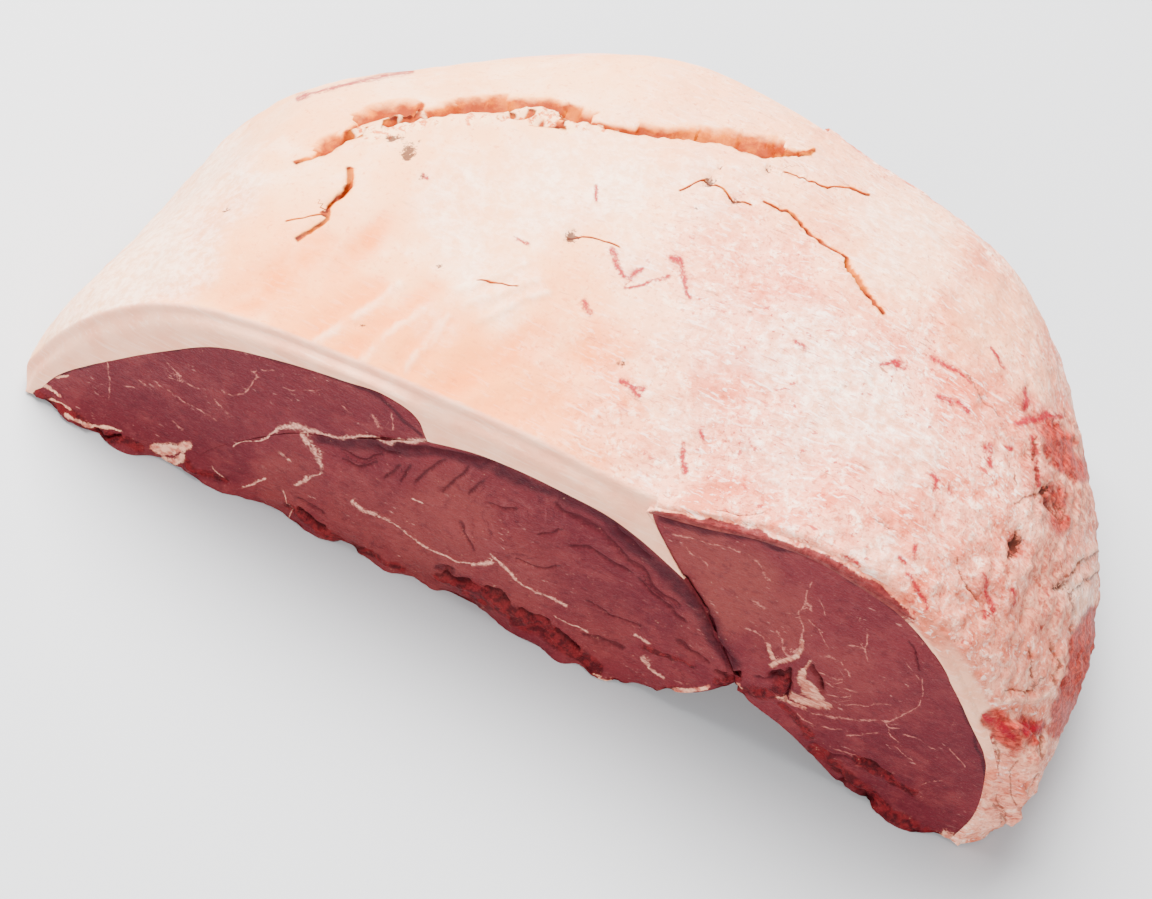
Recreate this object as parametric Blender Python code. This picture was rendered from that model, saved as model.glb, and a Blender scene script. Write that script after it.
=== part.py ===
"""A whole beef rump joint, raw and boned: three lean muscles under one thick cap of fat, cut straight across.

The long cut face looks along -Y, the cap of fat is on top and the boned side lies on the board at z = 0.
Each piece is a lens between a lower and an upper edge of the front cut, carried back to the far side.
Lengths are in millimetres until the meshes are written, in metres.
"""

import math

import bpy
import numpy as np
from mathutils import Matrix

MM = 0.001

# The joint as a whole
CUT_LENGTH = 354.0
SEAM_GAP = 0.3
FAT_COLOUR = (0.84, 0.66, 0.56)
LEAN_COLOUR = (0.24, 0.035, 0.045)
MEAT_ROUGHNESS = 0.45

# Edges on the front cut, as (x, z): x runs right from the left tip, z up from the board
FAT_RIM = [
    (0, 1), (-2, 7), (2, 24), (10, 45), (22, 65), (36, 81), (52, 91), (75, 98), (103, 102), (133, 105),
    (168, 107), (192, 106), (205, 107), (222, 114), (241, 122), (262, 126), (280, 124), (297, 117),
    (312, 106), (323, 93), (334, 79), (344, 62), (351, 45), (355, 25), (354, 1),
]
CAP_TOP = [
    (4, 2), (10, 18), (26, 41), (44, 63), (60, 79), (80, 88), (101, 94), (117, 97), (127, 94), (134, 84),
]
CAP_EYE_SEAM = [(60, 2), (69, 21), (80, 38), (92, 52), (107, 63), (120, 73), (134, 84)]
EYE_TOP = [(134, 84), (150, 90), (165, 92), (181, 92), (196, 91), (208, 87), (218, 82), (227, 77)]
EYE_TAIL_SEAM = [(227, 77), (236, 67), (244, 55), (252, 44), (259, 31)]
WEDGE_SIDE = [(227, 77), (219, 87), (213, 95), (206, 103)]
TAIL_TOP = [
    (206, 103), (224, 109), (242, 117), (259, 120), (275, 118), (292, 113), (305, 104), (318, 90),
    (330, 74), (341, 59), (347, 42), (351, 20), (350, 2),
]
CAP_BASE = [(4, 2), (20, 1), (40, 0), (60, 2)]
EYE_BASE = [(60, 2), (72, 0), (140, 0), (215, 0), (230, 2), (244, 9), (253, 20), (259, 31)]
TAIL_BASE = [(259, 31), (266, 25), (280, 20), (293, 12), (305, 4), (318, 0), (336, 0), (350, 2)]

# Where on the rim the inner edges of the fat change from one muscle to the next
RIM_AT_CAP_EYE = 133.0
RIM_AT_WEDGE_TIP = 202.0
RIM_AT_TAIL = 208.0

# How the front outline changes towards the far side, read along the cut from 0 to 1: how deep the joint is
# there, and what its height is multiplied by behind the front cut and at the far side
DEPTH_ALONG = [
    (0.0, 132), (0.06, 144), (0.15, 156), (0.21, 163), (0.29, 170), (0.38, 180), (0.44, 184), (0.54, 181),
    (0.63, 174), (0.74, 170), (0.84, 166), (1.0, 166),
]
MID_HEIGHT = [
    (0.0, 1.0), (0.38, 1.03), (0.48, 1.065), (0.54, 1.11), (0.58, 1.112), (0.63, 1.06), (0.68, 1.01),
    (0.74, 0.976), (0.84, 0.975), (1.0, 1.0),
]
FAR_HEIGHT = [
    (0.0, 0.45), (0.06, 0.5), (0.15, 0.56), (0.21, 0.67), (0.29, 0.79), (0.38, 0.86), (0.48, 0.874),
    (0.54, 0.906), (0.58, 0.911), (0.63, 0.868), (0.68, 0.816), (0.74, 0.782), (0.84, 0.769), (1.0, 0.76),
]
# The groove that the bone left in the underside: how high it is over the board at some x of the front cut
BONE_GROOVE = [(225, 0), (242, 8), (253, 20), (259, 31), (266, 25), (280, 20), (293, 12), (305, 4), (318, 0)]

# How far the ends move along x, and how much of the groove is left, from 0 at the front cut to 1 at the far
# side
LEFT_END_SHIFT = [(0.0, 0), (0.13, 0), (0.3, 4), (0.55, 11), (0.8, 14), (1.0, 22)]
RIGHT_END_SHIFT = [(0.0, 0), (0.03, 6), (0.08, 9), (0.2, 12), (0.35, 12), (0.6, 5), (0.8, -9), (1.0, -30)]
GROOVE_SHARE = [(0.0, 1.0), (0.2, 0.7), (0.5, 0.2), (1.0, 0.1)]
MID_FROM = 0.35
CROWN = 0.04
SHOULDER_POWER = 4.0
FAR_SIDE_LEAN = 9.0
GREATEST_HEIGHT = 130.0

# Where the cut face stands out: by how much, then the middle and the width along x and along z
SWELLS = [(2.0, 160, 60, 40, 30), (1.5, 290, 35, 70, 30), (3.0, 28, 9, 0, 10)]
FOOT_HEIGHT = 14.0
FOOT_STEP = 1.2
FOOT_RIPPLES = [(0.9, 9.0), (0.7, 4.3)]

# The outer face of the fat: waves by height, length along x and z, and turns into the depth, and one lump
# like SWELLS
FAT_WAVES = [(1.1, 32, 25, 5), (0.7, 13, 17, -9)]
WAVES_FROM, WAVES_UNTIL = 0.15, 0.08
FRONT_LUMP = (3.0, 352, 12, 45, 25)
LUMP_DEPTH = 0.06

# The long crack over the crest of the fat, as the depth that it has at some x, with a fold in front of it
CREST_CRACK = [
    (50, 0.53), (57, 0.66), (84, 0.71), (106, 0.757), (127, 0.735), (149, 0.706), (175, 0.785), (198, 0.86),
]
CRACK_DEPTH = 4.0
CRACK_WIDTH = 0.022
FOLD_HEIGHT = 2.0
FOLD_WIDTH = 0.05
CRACK_ENDS = (45, 205)
CRACK_FADE = 15

# How many points the pieces get
DEPTH_STATIONS = 33
CLOSER_NEAR_CUTS = 0.07
INNER_STEP = 4
FAT_SHARES = (0.0, 0.45, 0.85, 1.0)
LEAN_SHARES = (0.0, 0.08, 0.3, 0.5, 0.7, 0.92, 1.0)
RIM_FALL = 3.0


def read_along(table, at):
    """The values of a short table of (place, value) at some places, joined smoothly."""
    places, values = np.array(table, float).T
    slopes = np.gradient(values, places)
    at = np.clip(at, places[0], places[-1])
    k = np.clip(np.searchsorted(places, at, side="right") - 1, 0, len(places) - 2)
    span = places[k + 1] - places[k]
    t = (at - places[k]) / span
    rise = 3 * t**2 - 2 * t**3
    start, end = span * (t**3 - 2 * t**2 + t), span * (t**3 - t**2)
    return values[k] * (1 - rise) + values[k + 1] * rise + slopes[k] * start + slopes[k + 1] * end


def smooth_curve(points):
    """A fine smooth curve through a few points, nowhere below the board."""
    points = np.array(points, float)
    places = np.r_[0, np.cumsum(np.linalg.norm(np.diff(points, axis=0), axis=1))]
    fine = np.linspace(0, places[-1], 40 * len(points))
    x, z = (read_along(np.column_stack([places, side]), fine) for side in points.T)
    return np.column_stack([x, np.maximum(z, 0)])


def spaced(curve, count):
    """count points at even spacing along a fine curve."""
    places = np.r_[0, np.cumsum(np.linalg.norm(np.diff(curve, axis=0), axis=1))]
    even = np.linspace(0, places[-1], count)
    return np.column_stack([np.interp(even, places, side) for side in curve.T])


def joined(*edges):
    """Edges end to end as one, with each shared point kept once."""
    return np.vstack([edges[0]] + [edge[1:] for edge in edges[1:]])


def drawn_in(lower, upper):
    """Both edges moved inwards by the seam gap, with what lies on the board left there."""
    loop = np.vstack([lower, upper[-2:0:-1]])
    along = np.roll(loop, -1, axis=0) - np.roll(loop, 1, axis=0)
    along /= np.linalg.norm(along, axis=1)[:, None]
    moved = loop + SEAM_GAP * np.column_stack([-along[:, 1], along[:, 0]])
    moved[:, 1] = np.where(loop[:, 1] > 0.05, moved[:, 1], 0.0)
    last = len(lower) - 1
    return moved[: last + 1], np.vstack([moved[:1], moved[:last:-1], moved[last : last + 1]])


def into_joint(flat, depth):
    """Where a point (x, z) of the front outline lies at a depth from 0, the front cut, to 1, the far side."""
    x, z = flat
    along = np.clip(x / CUT_LENGTH, 0, 1)
    left, right = read_along(LEFT_END_SHIFT, depth), read_along(RIGHT_END_SHIFT, depth)
    lost = (1 - read_along(GROOVE_SHARE, depth)) * read_along(BONE_GROOVE, x)
    z = z - lost * max(0.0, 1 - z / GREATEST_HEIGHT)
    shoulder = depth**SHOULDER_POWER
    settled = min(1.0, depth / MID_FROM)
    crown = 1 + CROWN * math.sin(math.pi * depth)
    crown += (read_along(MID_HEIGHT, along) - 1) * settled**2 * (3 - 2 * settled)
    height = crown * (1 - shoulder) + read_along(FAR_HEIGHT, along) * shoulder
    lean = FAR_SIDE_LEAN * depth**2 * (1 - z / GREATEST_HEIGHT)
    y = read_along(DEPTH_ALONG, along) * depth + lean
    return np.array([x + left * (1 - along) ** 2 + right * along**4, y, z * height])


def bump(at, centre, width):
    """A smooth bump of height 1, which is gone about two widths from its centre."""
    return math.exp(-(((at - centre) / width) ** 2))


def swell(flat, height, x, x_width, z, z_width):
    """A smooth round swelling on the front cut or over the rim."""
    return height * bump(flat[0], x, x_width) * bump(flat[1], z, z_width)


def forward(flat):
    """How far the cut face stands out: the muscles swell a little and the trimmed foot is ragged."""
    foot = max(0.0, 1 - flat[1] / FOOT_HEIGHT)
    ragged = FOOT_STEP + sum(height * math.sin(flat[0] / length) for height, length in FOOT_RIPPLES)
    return sum(swell(flat, *place) for place in SWELLS) + foot * ragged


def fat_relief(flat, depth):
    """How far the outer face of the fat stands out over a point of the rim at some depth."""
    x, z = flat
    waves = sum(h * math.sin(x / a + z / b + turn * depth) for h, a, b, turn in FAT_WAVES)
    waves *= min(1.0, depth / WAVES_FROM) * min(1.0, (1 - depth) / WAVES_UNTIL)
    across = depth - read_along(CREST_CRACK, x)
    crack = FOLD_HEIGHT * bump(across, -1.5 * FOLD_WIDTH, FOLD_WIDTH)
    crack -= CRACK_DEPTH * bump(across, 0, CRACK_WIDTH)
    crack *= np.clip((x - CRACK_ENDS[0]) / CRACK_FADE, 0, 1)
    crack *= np.clip((CRACK_ENDS[1] - x) / CRACK_FADE, 0, 1)
    return waves + crack + swell(flat, *FRONT_LUMP) * bump(depth, LUMP_DEPTH, LUMP_DEPTH)


def rim_normals(rim):
    """The outward direction at each point of the rim."""
    along = np.gradient(rim, axis=0)
    along /= np.linalg.norm(along, axis=1)[:, None]
    return np.column_stack([-along[:, 1], along[:, 0]])


def lens_mesh(name, lower, upper, shares, relief=None):
    """A closed mesh between two edges, from the front cut to the far side.

    shares says where the lines across the cut lie, from the lower edge to the upper one. With relief the
    upper side is the outer face of the fat, and takes every depth station. The rest takes one in INNER_STEP.
    """
    tips = (0, len(lower) - 1)
    last = DEPTH_STATIONS - 1
    even = np.linspace(0, 1, DEPTH_STATIONS)
    depths = even - CLOSER_NEAR_CUTS * np.sin(2 * math.pi * even)
    outward = rim_normals(upper)
    vertices, faces, numbers = [], [], {}

    def vertex(i, j, k):
        """The number of the vertex at i along the edges, line j across and station k into the joint."""
        key = (i, 0 if i in tips else j, k)
        if key in numbers:
            return numbers[key]
        flat = lower[i] + shares[j] * (upper[i] - lower[i])
        outer = relief and (j == len(shares) - 1 or i in tips)
        if outer:
            flat = flat + outward[i] * relief(upper[i], depths[k])
        point = into_joint(flat, depths[k])
        if k == 0:
            point[1] += RIM_FALL if outer else -forward(flat)
        if k == last:
            point[1] -= RIM_FALL if outer else -forward(flat)
        numbers[key] = len(vertices)
        vertices.append(point)
        return numbers[key]

    def face(corners):
        kept = [c for n, c in enumerate(corners) if c != corners[n - 1]]
        if len(kept) > 2:
            faces.append(kept)

    for i in range(tips[1]):
        for j in range(len(shares) - 1):
            for k, turn in ((0, 1), (last, -1)):
                corners = ((i, j), (i + 1, j), (i + 1, j + 1), (i, j + 1))
                face([vertex(*corner, k) for corner in corners][::turn])
        for edge, j, turn in ((lower, 0, 1), (upper, len(shares) - 1, -1)):
            step = 1 if relief and j else INNER_STEP
            fine = 1 if relief else INNER_STEP
            rightward = edge[i, 0] < edge[i + 1, 0]
            for k in range(0, last, step):
                stations = [range(k, k + step + 1, fine if n in tips else step) for n in (i, i + 1)]
                near = [vertex(i, j, n) for n in stations[0]]
                far = [vertex(i + 1, j, n) for n in stations[1]]
                if len(near) + len(far) > 4:
                    face((near + far[::-1])[::turn])
                elif rightward:
                    face([near[0], near[1], far[1]][::turn])
                    face([near[0], far[1], far[0]][::turn])
                else:
                    face([near[0], near[1], far[0]][::turn])
                    face([near[1], far[1], far[0]][::turn])
    mesh = bpy.data.meshes.new(name)
    mesh.from_pydata([tuple(v * MM) for v in vertices], [], faces)
    mesh.update()
    return mesh


def finish(name, colour):
    """A plain moist finish of one colour."""
    material = bpy.data.materials.new(name)
    material.use_nodes = True
    shader = material.node_tree.nodes["Principled BSDF"]
    shader.inputs["Base Color"].default_value = (*colour, 1.0)
    shader.inputs["Roughness"].default_value = MEAT_ROUGHNESS
    shader.inputs["Metallic"].default_value = 0.0
    return material


def add_node(name, mesh, colour):
    mesh.materials.append(finish(name + "_finish", colour))
    node = bpy.data.objects.new(name, mesh)
    bpy.context.scene.collection.objects.link(node)
    mesh.shade_smooth()
    mesh.set_sharp_from_angle(angle=math.radians(40))
    return node


def rim_in_step(counts):
    """The rim of the fat, with as many points over each stretch as the edge under it has."""
    curve = smooth_curve(FAT_RIM)
    crossings = [0]
    for x in (RIM_AT_CAP_EYE, RIM_AT_WEDGE_TIP, RIM_AT_TAIL):
        crossings.append(int(np.argmin(abs(curve[:, 0] - x) + (curve[:, 1] < 90) * CUT_LENGTH)))
    crossings.append(len(curve) - 1)
    stretches = zip(crossings[:-1], crossings[1:], counts)
    return joined(*[spaced(curve[a : b + 1], count) for a, b, count in stretches])


def rest_under_middle(nodes):
    """Move the pieces so that the origin lies under the middle of the joint's box, on the board."""
    corners = np.array([v.co for node in nodes for v in node.data.vertices])
    low, high = corners.min(axis=0), corners.max(axis=0)
    shift = (-(low[0] + high[0]) / 2, -(low[1] + high[1]) / 2, -low[2])
    for node in nodes:
        node.data.transform(Matrix.Translation(shift))


def build():
    for old in list(bpy.data.objects):
        bpy.data.objects.remove(old)
    cap_top, cap_seam = spaced(smooth_curve(CAP_TOP), 15), spaced(smooth_curve(CAP_EYE_SEAM), 10)
    eye_top, eye_seam = spaced(smooth_curve(EYE_TOP), 10), spaced(smooth_curve(EYE_TAIL_SEAM), 6)
    wedge, tail_top = spaced(smooth_curve(WEDGE_SIDE), 4), spaced(smooth_curve(TAIL_TOP), 20)
    left_tip, right_tip = np.array(FAT_RIM[:1], float), np.array(FAT_RIM[-1:], float)
    under_fat = np.vstack([left_tip, joined(cap_top, eye_top, wedge, tail_top), right_tip])
    rim = rim_in_step([16, 10, 4, 21])
    fat = lens_mesh("fat_cap", under_fat, rim, FAT_SHARES, fat_relief)
    nodes = [add_node("fat_cap", fat, FAT_COLOUR)]
    upper_edges = {
        "cap_muscle": cap_top,
        "eye_muscle": joined(cap_seam, eye_top, eye_seam),
        "tail_muscle": tail_top,
    }
    lower_edges = {
        "cap_muscle": [(CAP_BASE, 6), (CAP_EYE_SEAM, 10)],
        "eye_muscle": [(EYE_BASE, 24)],
        "tail_muscle": [(WEDGE_SIDE[::-1], 4), (EYE_TAIL_SEAM, 6), (TAIL_BASE, 12)],
    }
    for name, upper in upper_edges.items():
        lower = joined(*[spaced(smooth_curve(edge), count) for edge, count in lower_edges[name]])
        mesh = lens_mesh(name, *drawn_in(lower, upper), LEAN_SHARES)
        nodes.append(add_node(name, mesh, LEAN_COLOUR))
    rest_under_middle(nodes)


build()
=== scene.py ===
"""A raw beef rump joint, dressed for its portrait: three cut muscles under a domed cap of fat."""

import math
from itertools import product

import bpy
import numpy as np
from mathutils import Matrix, Vector


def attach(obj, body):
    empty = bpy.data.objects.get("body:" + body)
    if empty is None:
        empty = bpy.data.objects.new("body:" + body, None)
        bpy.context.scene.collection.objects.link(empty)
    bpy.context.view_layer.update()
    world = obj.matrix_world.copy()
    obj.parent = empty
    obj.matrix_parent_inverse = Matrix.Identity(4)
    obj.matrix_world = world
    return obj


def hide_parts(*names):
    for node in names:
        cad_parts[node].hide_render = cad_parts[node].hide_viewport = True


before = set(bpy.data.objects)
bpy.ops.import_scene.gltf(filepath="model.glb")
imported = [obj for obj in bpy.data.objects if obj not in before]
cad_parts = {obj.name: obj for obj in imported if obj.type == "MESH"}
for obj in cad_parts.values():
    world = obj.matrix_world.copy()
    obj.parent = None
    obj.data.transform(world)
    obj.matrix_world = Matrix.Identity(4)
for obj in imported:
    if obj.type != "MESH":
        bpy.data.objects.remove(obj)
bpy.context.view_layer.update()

MM = 0.001

# The photograph's camera. Places are in the joint's own frame, in millimetres: x from the left tip of the cut
# face, y into the joint and z up from the board
PHOTO_WIDTH, PHOTO_HEIGHT = 1152, 899
CAMERA_ELEVATION = math.radians(57)
CAMERA_ROLL = math.radians(26)
CAMERA_LENS = 100
CAMERA_SENSOR = 36
CAMERA_DISTANCE = 1100.0
CAMERA_AIM = np.array([177.6, 59.14, 26.45])
FRONT_LEFT_TIP = np.array([-183.36, -95.5, 0.0])

# Edges on the front cut, as (x, z)
CUT_LENGTH = 354.0
FAT_RIM = [
    (0, 1), (-2, 7), (2, 24), (10, 45), (22, 65), (36, 81), (52, 91), (75, 98), (103, 102), (133, 105),
    (168, 107), (192, 106), (205, 107), (222, 114), (241, 122), (262, 126), (280, 124), (297, 117),
    (312, 106), (323, 93), (334, 79), (344, 62), (351, 45), (355, 25), (354, 1),
]
CAP_TOP = [
    (4, 2), (10, 18), (26, 41), (44, 63), (60, 79), (80, 88), (101, 94), (117, 97), (127, 94), (134, 84),
]
CAP_EYE_SEAM = [(60, 2), (69, 21), (80, 38), (92, 52), (107, 63), (120, 73), (134, 84)]
EYE_TOP = [(134, 84), (150, 90), (165, 92), (181, 92), (196, 91), (208, 87), (218, 82), (227, 77)]
EYE_TAIL_SEAM = [(227, 77), (236, 67), (244, 55), (252, 44), (259, 31)]
WEDGE_SIDE = [(227, 77), (219, 87), (213, 95), (206, 103)]
TAIL_TOP = [
    (206, 103), (224, 109), (242, 117), (259, 120), (275, 118), (292, 113), (305, 104), (318, 90),
    (330, 74), (341, 59), (347, 42), (351, 20), (350, 2),
]
CAP_BASE = [(4, 2), (20, 1), (40, 0), (60, 2)]
EYE_BASE = [(60, 2), (72, 0), (140, 0), (215, 0), (230, 2), (244, 9), (253, 20), (259, 31)]
TAIL_BASE = [(259, 31), (266, 25), (280, 20), (293, 12), (305, 4), (318, 0), (336, 0), (350, 2)]
RIM_AT_CAP_EYE = 133.0
RIM_AT_WEDGE_TIP = 202.0
RIM_AT_TAIL = 208.0

# How the front outline changes towards the far side, as in the solids
DEPTH_ALONG = [
    (0.0, 132), (0.06, 144), (0.15, 156), (0.21, 163), (0.29, 170), (0.38, 180), (0.44, 184), (0.54, 181),
    (0.63, 174), (0.74, 170), (0.84, 166), (1.0, 166),
]
MID_HEIGHT = [
    (0.0, 1.0), (0.38, 1.03), (0.48, 1.065), (0.54, 1.11), (0.58, 1.112), (0.63, 1.06), (0.68, 1.01),
    (0.74, 0.976), (0.84, 0.975), (1.0, 1.0),
]
FAR_HEIGHT = [
    (0.0, 0.45), (0.06, 0.5), (0.15, 0.56), (0.21, 0.67), (0.29, 0.79), (0.38, 0.86), (0.48, 0.874),
    (0.54, 0.906), (0.58, 0.911), (0.63, 0.868), (0.68, 0.816), (0.74, 0.782), (0.84, 0.769), (1.0, 0.76),
]
BONE_GROOVE = [(225, 0), (242, 8), (253, 20), (259, 31), (266, 25), (280, 20), (293, 12), (305, 4), (318, 0)]
LEFT_END_SHIFT = [(0.0, 0), (0.13, 0), (0.3, 4), (0.55, 11), (0.8, 14), (1.0, 22)]
RIGHT_END_SHIFT = [(0.0, 0), (0.03, 6), (0.08, 9), (0.2, 12), (0.35, 12), (0.6, 5), (0.8, -9), (1.0, -30)]
GROOVE_SHARE = [(0.0, 1.0), (0.2, 0.7), (0.5, 0.2), (1.0, 0.1)]
MID_FROM = 0.35
CROWN = 0.04
SHOULDER_POWER = 4.0
FAR_SIDE_LEAN = 9.0
GREATEST_HEIGHT = 130.0
USUAL_DEPTH = 170


# Curves and fields

def smooth(low, high, value):
    """0 below low, 1 above high and a smooth rise between."""
    t = np.clip((value - low) / (high - low), 0, 1)
    return t * t * (3 - 2 * t)


def between(start, full, fade, end, value):
    """1 from full to fade, 0 outside start and end and smooth between."""
    return smooth(start, full, value) * (1 - smooth(fade, end, value))


def bump(at, centre, width):
    """A smooth bump of height 1, which is gone about two widths from its centre."""
    return np.exp(-(((at - centre) / width) ** 2))


def read_along(table, at):
    """The values of a short table of (place, value) at some places, joined smoothly."""
    places, values = np.array(table, float).T
    slopes = np.gradient(values, places)
    at = np.clip(at, places[0], places[-1])
    k = np.clip(np.searchsorted(places, at, side="right") - 1, 0, len(places) - 2)
    span = places[k + 1] - places[k]
    t = (at - places[k]) / span
    rise = 3 * t**2 - 2 * t**3
    start, end = span * (t**3 - 2 * t**2 + t), span * (t**3 - t**2)
    return values[k] * (1 - rise) + values[k + 1] * rise + slopes[k] * start + slopes[k + 1] * end


def smooth_curve(points):
    """A fine smooth curve through a few points, nowhere below the board."""
    points = np.array(points, float)
    places = np.r_[0, np.cumsum(np.linalg.norm(np.diff(points, axis=0), axis=1))]
    fine = np.linspace(0, places[-1], 80 * len(points))
    x, z = (read_along(np.column_stack([places, side]), fine) for side in points.T)
    return np.column_stack([x, np.maximum(z, 0)])


def spaced(curve, count):
    """count points at even spacing along a fine curve."""
    places = np.r_[0, np.cumsum(np.linalg.norm(np.diff(curve, axis=0), axis=1))]
    even = np.linspace(0, places[-1], count)
    return np.column_stack([np.interp(even, places, side) for side in curve.T])


def joined(*edges):
    """Edges end to end as one, with each shared point kept once."""
    return np.vstack([edges[0]] + [edge[1:] for edge in edges[1:]])


def value_noise(points, size, seed):
    """Smooth random values from -1 to 1 at points, in features about size across."""
    at = np.asarray(points, float) / size
    cell = np.floor(at).astype(np.int64)
    part = at - cell
    part = part * part * (3 - 2 * part)
    table = np.random.default_rng(seed).uniform(-1, 1, 4096)
    total = np.zeros(at.shape[:-1])
    for corner in product((0, 1), repeat=3):
        a, b, c = np.moveaxis(cell + corner, -1, 0)
        weight = np.prod(np.where(corner, part, 1 - part), axis=-1)
        total += weight * table[(a * 73856093 ^ b * 19349663 ^ c * 83492791) & 4095]
    return total


def rough_noise(points, size, seed, layers=3):
    """Noise with finer layers on top, each half as large and half as strong."""
    return sum(value_noise(points, size / 2**n, seed + n) / 2**n for n in range(layers))


# The joint's form

def into_joint(flat, depth):
    """Where points (x, z) of the front outline lie at depths from 0, the front cut, to 1, the far side."""
    x, z = flat[..., 0], flat[..., 1]
    along = np.clip(x / CUT_LENGTH, 0, 1)
    left, right = read_along(LEFT_END_SHIFT, depth), read_along(RIGHT_END_SHIFT, depth)
    lost = (1 - read_along(GROOVE_SHARE, depth)) * read_along(BONE_GROOVE, x)
    z = z - lost * np.maximum(0, 1 - z / GREATEST_HEIGHT)
    shoulder = depth**SHOULDER_POWER
    settled = np.minimum(1, depth / MID_FROM)
    crown = 1 + CROWN * np.sin(math.pi * depth)
    crown = crown + (read_along(MID_HEIGHT, along) - 1) * settled**2 * (3 - 2 * settled)
    height = crown * (1 - shoulder) + read_along(FAR_HEIGHT, along) * shoulder
    lean = FAR_SIDE_LEAN * depth**2 * (1 - z / GREATEST_HEIGHT)
    y = read_along(DEPTH_ALONG, along) * depth + lean
    return np.stack([x + left * (1 - along) ** 2 + right * along**4, y, z * height], axis=-1)


def camera_axes():
    """The directions to the camera's right, up and forward."""
    ahead = np.array([0, math.cos(CAMERA_ELEVATION), -math.sin(CAMERA_ELEVATION)])
    level = np.array([1.0, 0, 0])
    upright = np.array([0, math.sin(CAMERA_ELEVATION), math.cos(CAMERA_ELEVATION)])
    turn, lift = math.cos(CAMERA_ROLL), math.sin(CAMERA_ROLL)
    return turn * level + lift * upright, turn * upright - lift * level, ahead


def in_photo(points):
    """The photograph's pixel for each point of the joint."""
    right, up, ahead = camera_axes()
    seen = points - (CAMERA_AIM - ahead * CAMERA_DISTANCE)
    scale = CAMERA_LENS / CAMERA_SENSOR * PHOTO_WIDTH / (seen @ ahead)
    across, down = PHOTO_WIDTH / 2 + scale * (seen @ right), PHOTO_HEIGHT / 2 - scale * (seen @ up)
    return np.stack([across, down], axis=-1)


# What the photograph shows, as pixels of it. A line further off than FAR doesn't count. Drawn lines stray by
# about WAVER pixels, in bends about WAVER_SIZE millimetres long
FAR = 60.0
WAVER = 4.5
WAVER_SIZE = 13


def wavy(pixels, at, waver=WAVER):
    """Pixels moved a little this way and that, so that drawn lines run unevenly."""
    moves = [waver * rough_noise(at, WAVER_SIZE, seed) for seed in (91, 95)]
    return pixels + np.stack(moves, axis=-1)


def line(width, *points):
    """A drawn line: how wide it is, in pixels, and the pixels that it runs through."""
    return width, [np.array(p, float) for p in points]


def beside(places, lines):
    """How each place lies to the nearest line: its side in half widths, signed, its reach and its width."""
    side, reach, thickness = (np.full(places.shape[:-1], value) for value in (FAR, FAR, 1.0))
    for width, points in lines:
        for a, b in zip(points, points[1:]):
            along = (b - a) / np.linalg.norm(b - a)
            away = places - a
            run = np.clip(away @ along, 0, np.linalg.norm(b - a))
            distance = np.linalg.norm(away - run[..., None] * along, axis=-1)
            across = along[0] * away[..., 1] - along[1] * away[..., 0]
            nearer = distance < reach
            reach[nearer], side[nearer] = distance[nearer], across[nearer] / (width / 2)
            thickness[nearer] = width
    return np.clip(side, -FAR, FAR), reach, thickness


def spots(pixels, places):
    """Soft round spots: (x, y, radius, strength) each, the strongest one counts."""
    total = np.zeros(pixels.shape[:-1])
    for x, y, radius, strength in places:
        distance = np.linalg.norm(pixels - (x, y), axis=-1)
        total = np.maximum(total, strength * (1 - smooth(0.35, 1.0, distance / radius)))
    return total


# Lines on the cut face: white seams and marbling, then creases and splits, darkened with painted shade
WHITE_SEAMS = [
    line(1.6, (238, 444), (245, 440), (257, 435), (272, 432)), line(4, (272, 432), (284, 431)),
    line(6.5, (284, 431), (303, 431), (318, 432)), line(4, (318, 432), (332, 435), (348, 438)),
    line(3, (348, 438), (375, 441), (398, 442)), line(4, (398, 442), (421, 441)),
    line(6.5, (303, 438), (309, 446)), line(3.4, (309, 446), (314, 453), (318, 460), (319, 467)),
    line(2.6, (319, 467), (314, 472), (308, 477)), line(4, (308, 475), (300, 480)),
    line(4.4, (354, 501), (362, 508), (371, 514), (382, 519), (393, 524)),
    line(2.4, (393, 524), (406, 531), (419, 537), (434, 548)),
    line(1.8, (434, 548), (446, 556), (458, 563), (474, 566)), line(5, (472, 566), (480, 567), (489, 566)),
    line(2.6, (493, 559), (500, 567), (508, 574), (526, 588)),
    line(2.4, (526, 588), (540, 594), (556, 598), (566, 603)),
    line(1.2, (284, 497), (288, 510), (286, 518)), line(3.4, (634, 635), (638, 638), (643, 641)),
    line(2.6, (652, 668), (657, 672), (663, 676)), line(2.4, (646, 660), (650, 664)),
    line(3, (249, 486), (256, 482), (262, 479)), line(2, (220, 470), (223, 474)),
    line(2.4, (283, 453), (288, 456)), line(1.4, (418, 500), (424, 503)),
    line(1.2, (560, 618), (574, 626), (586, 632)),
]
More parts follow.
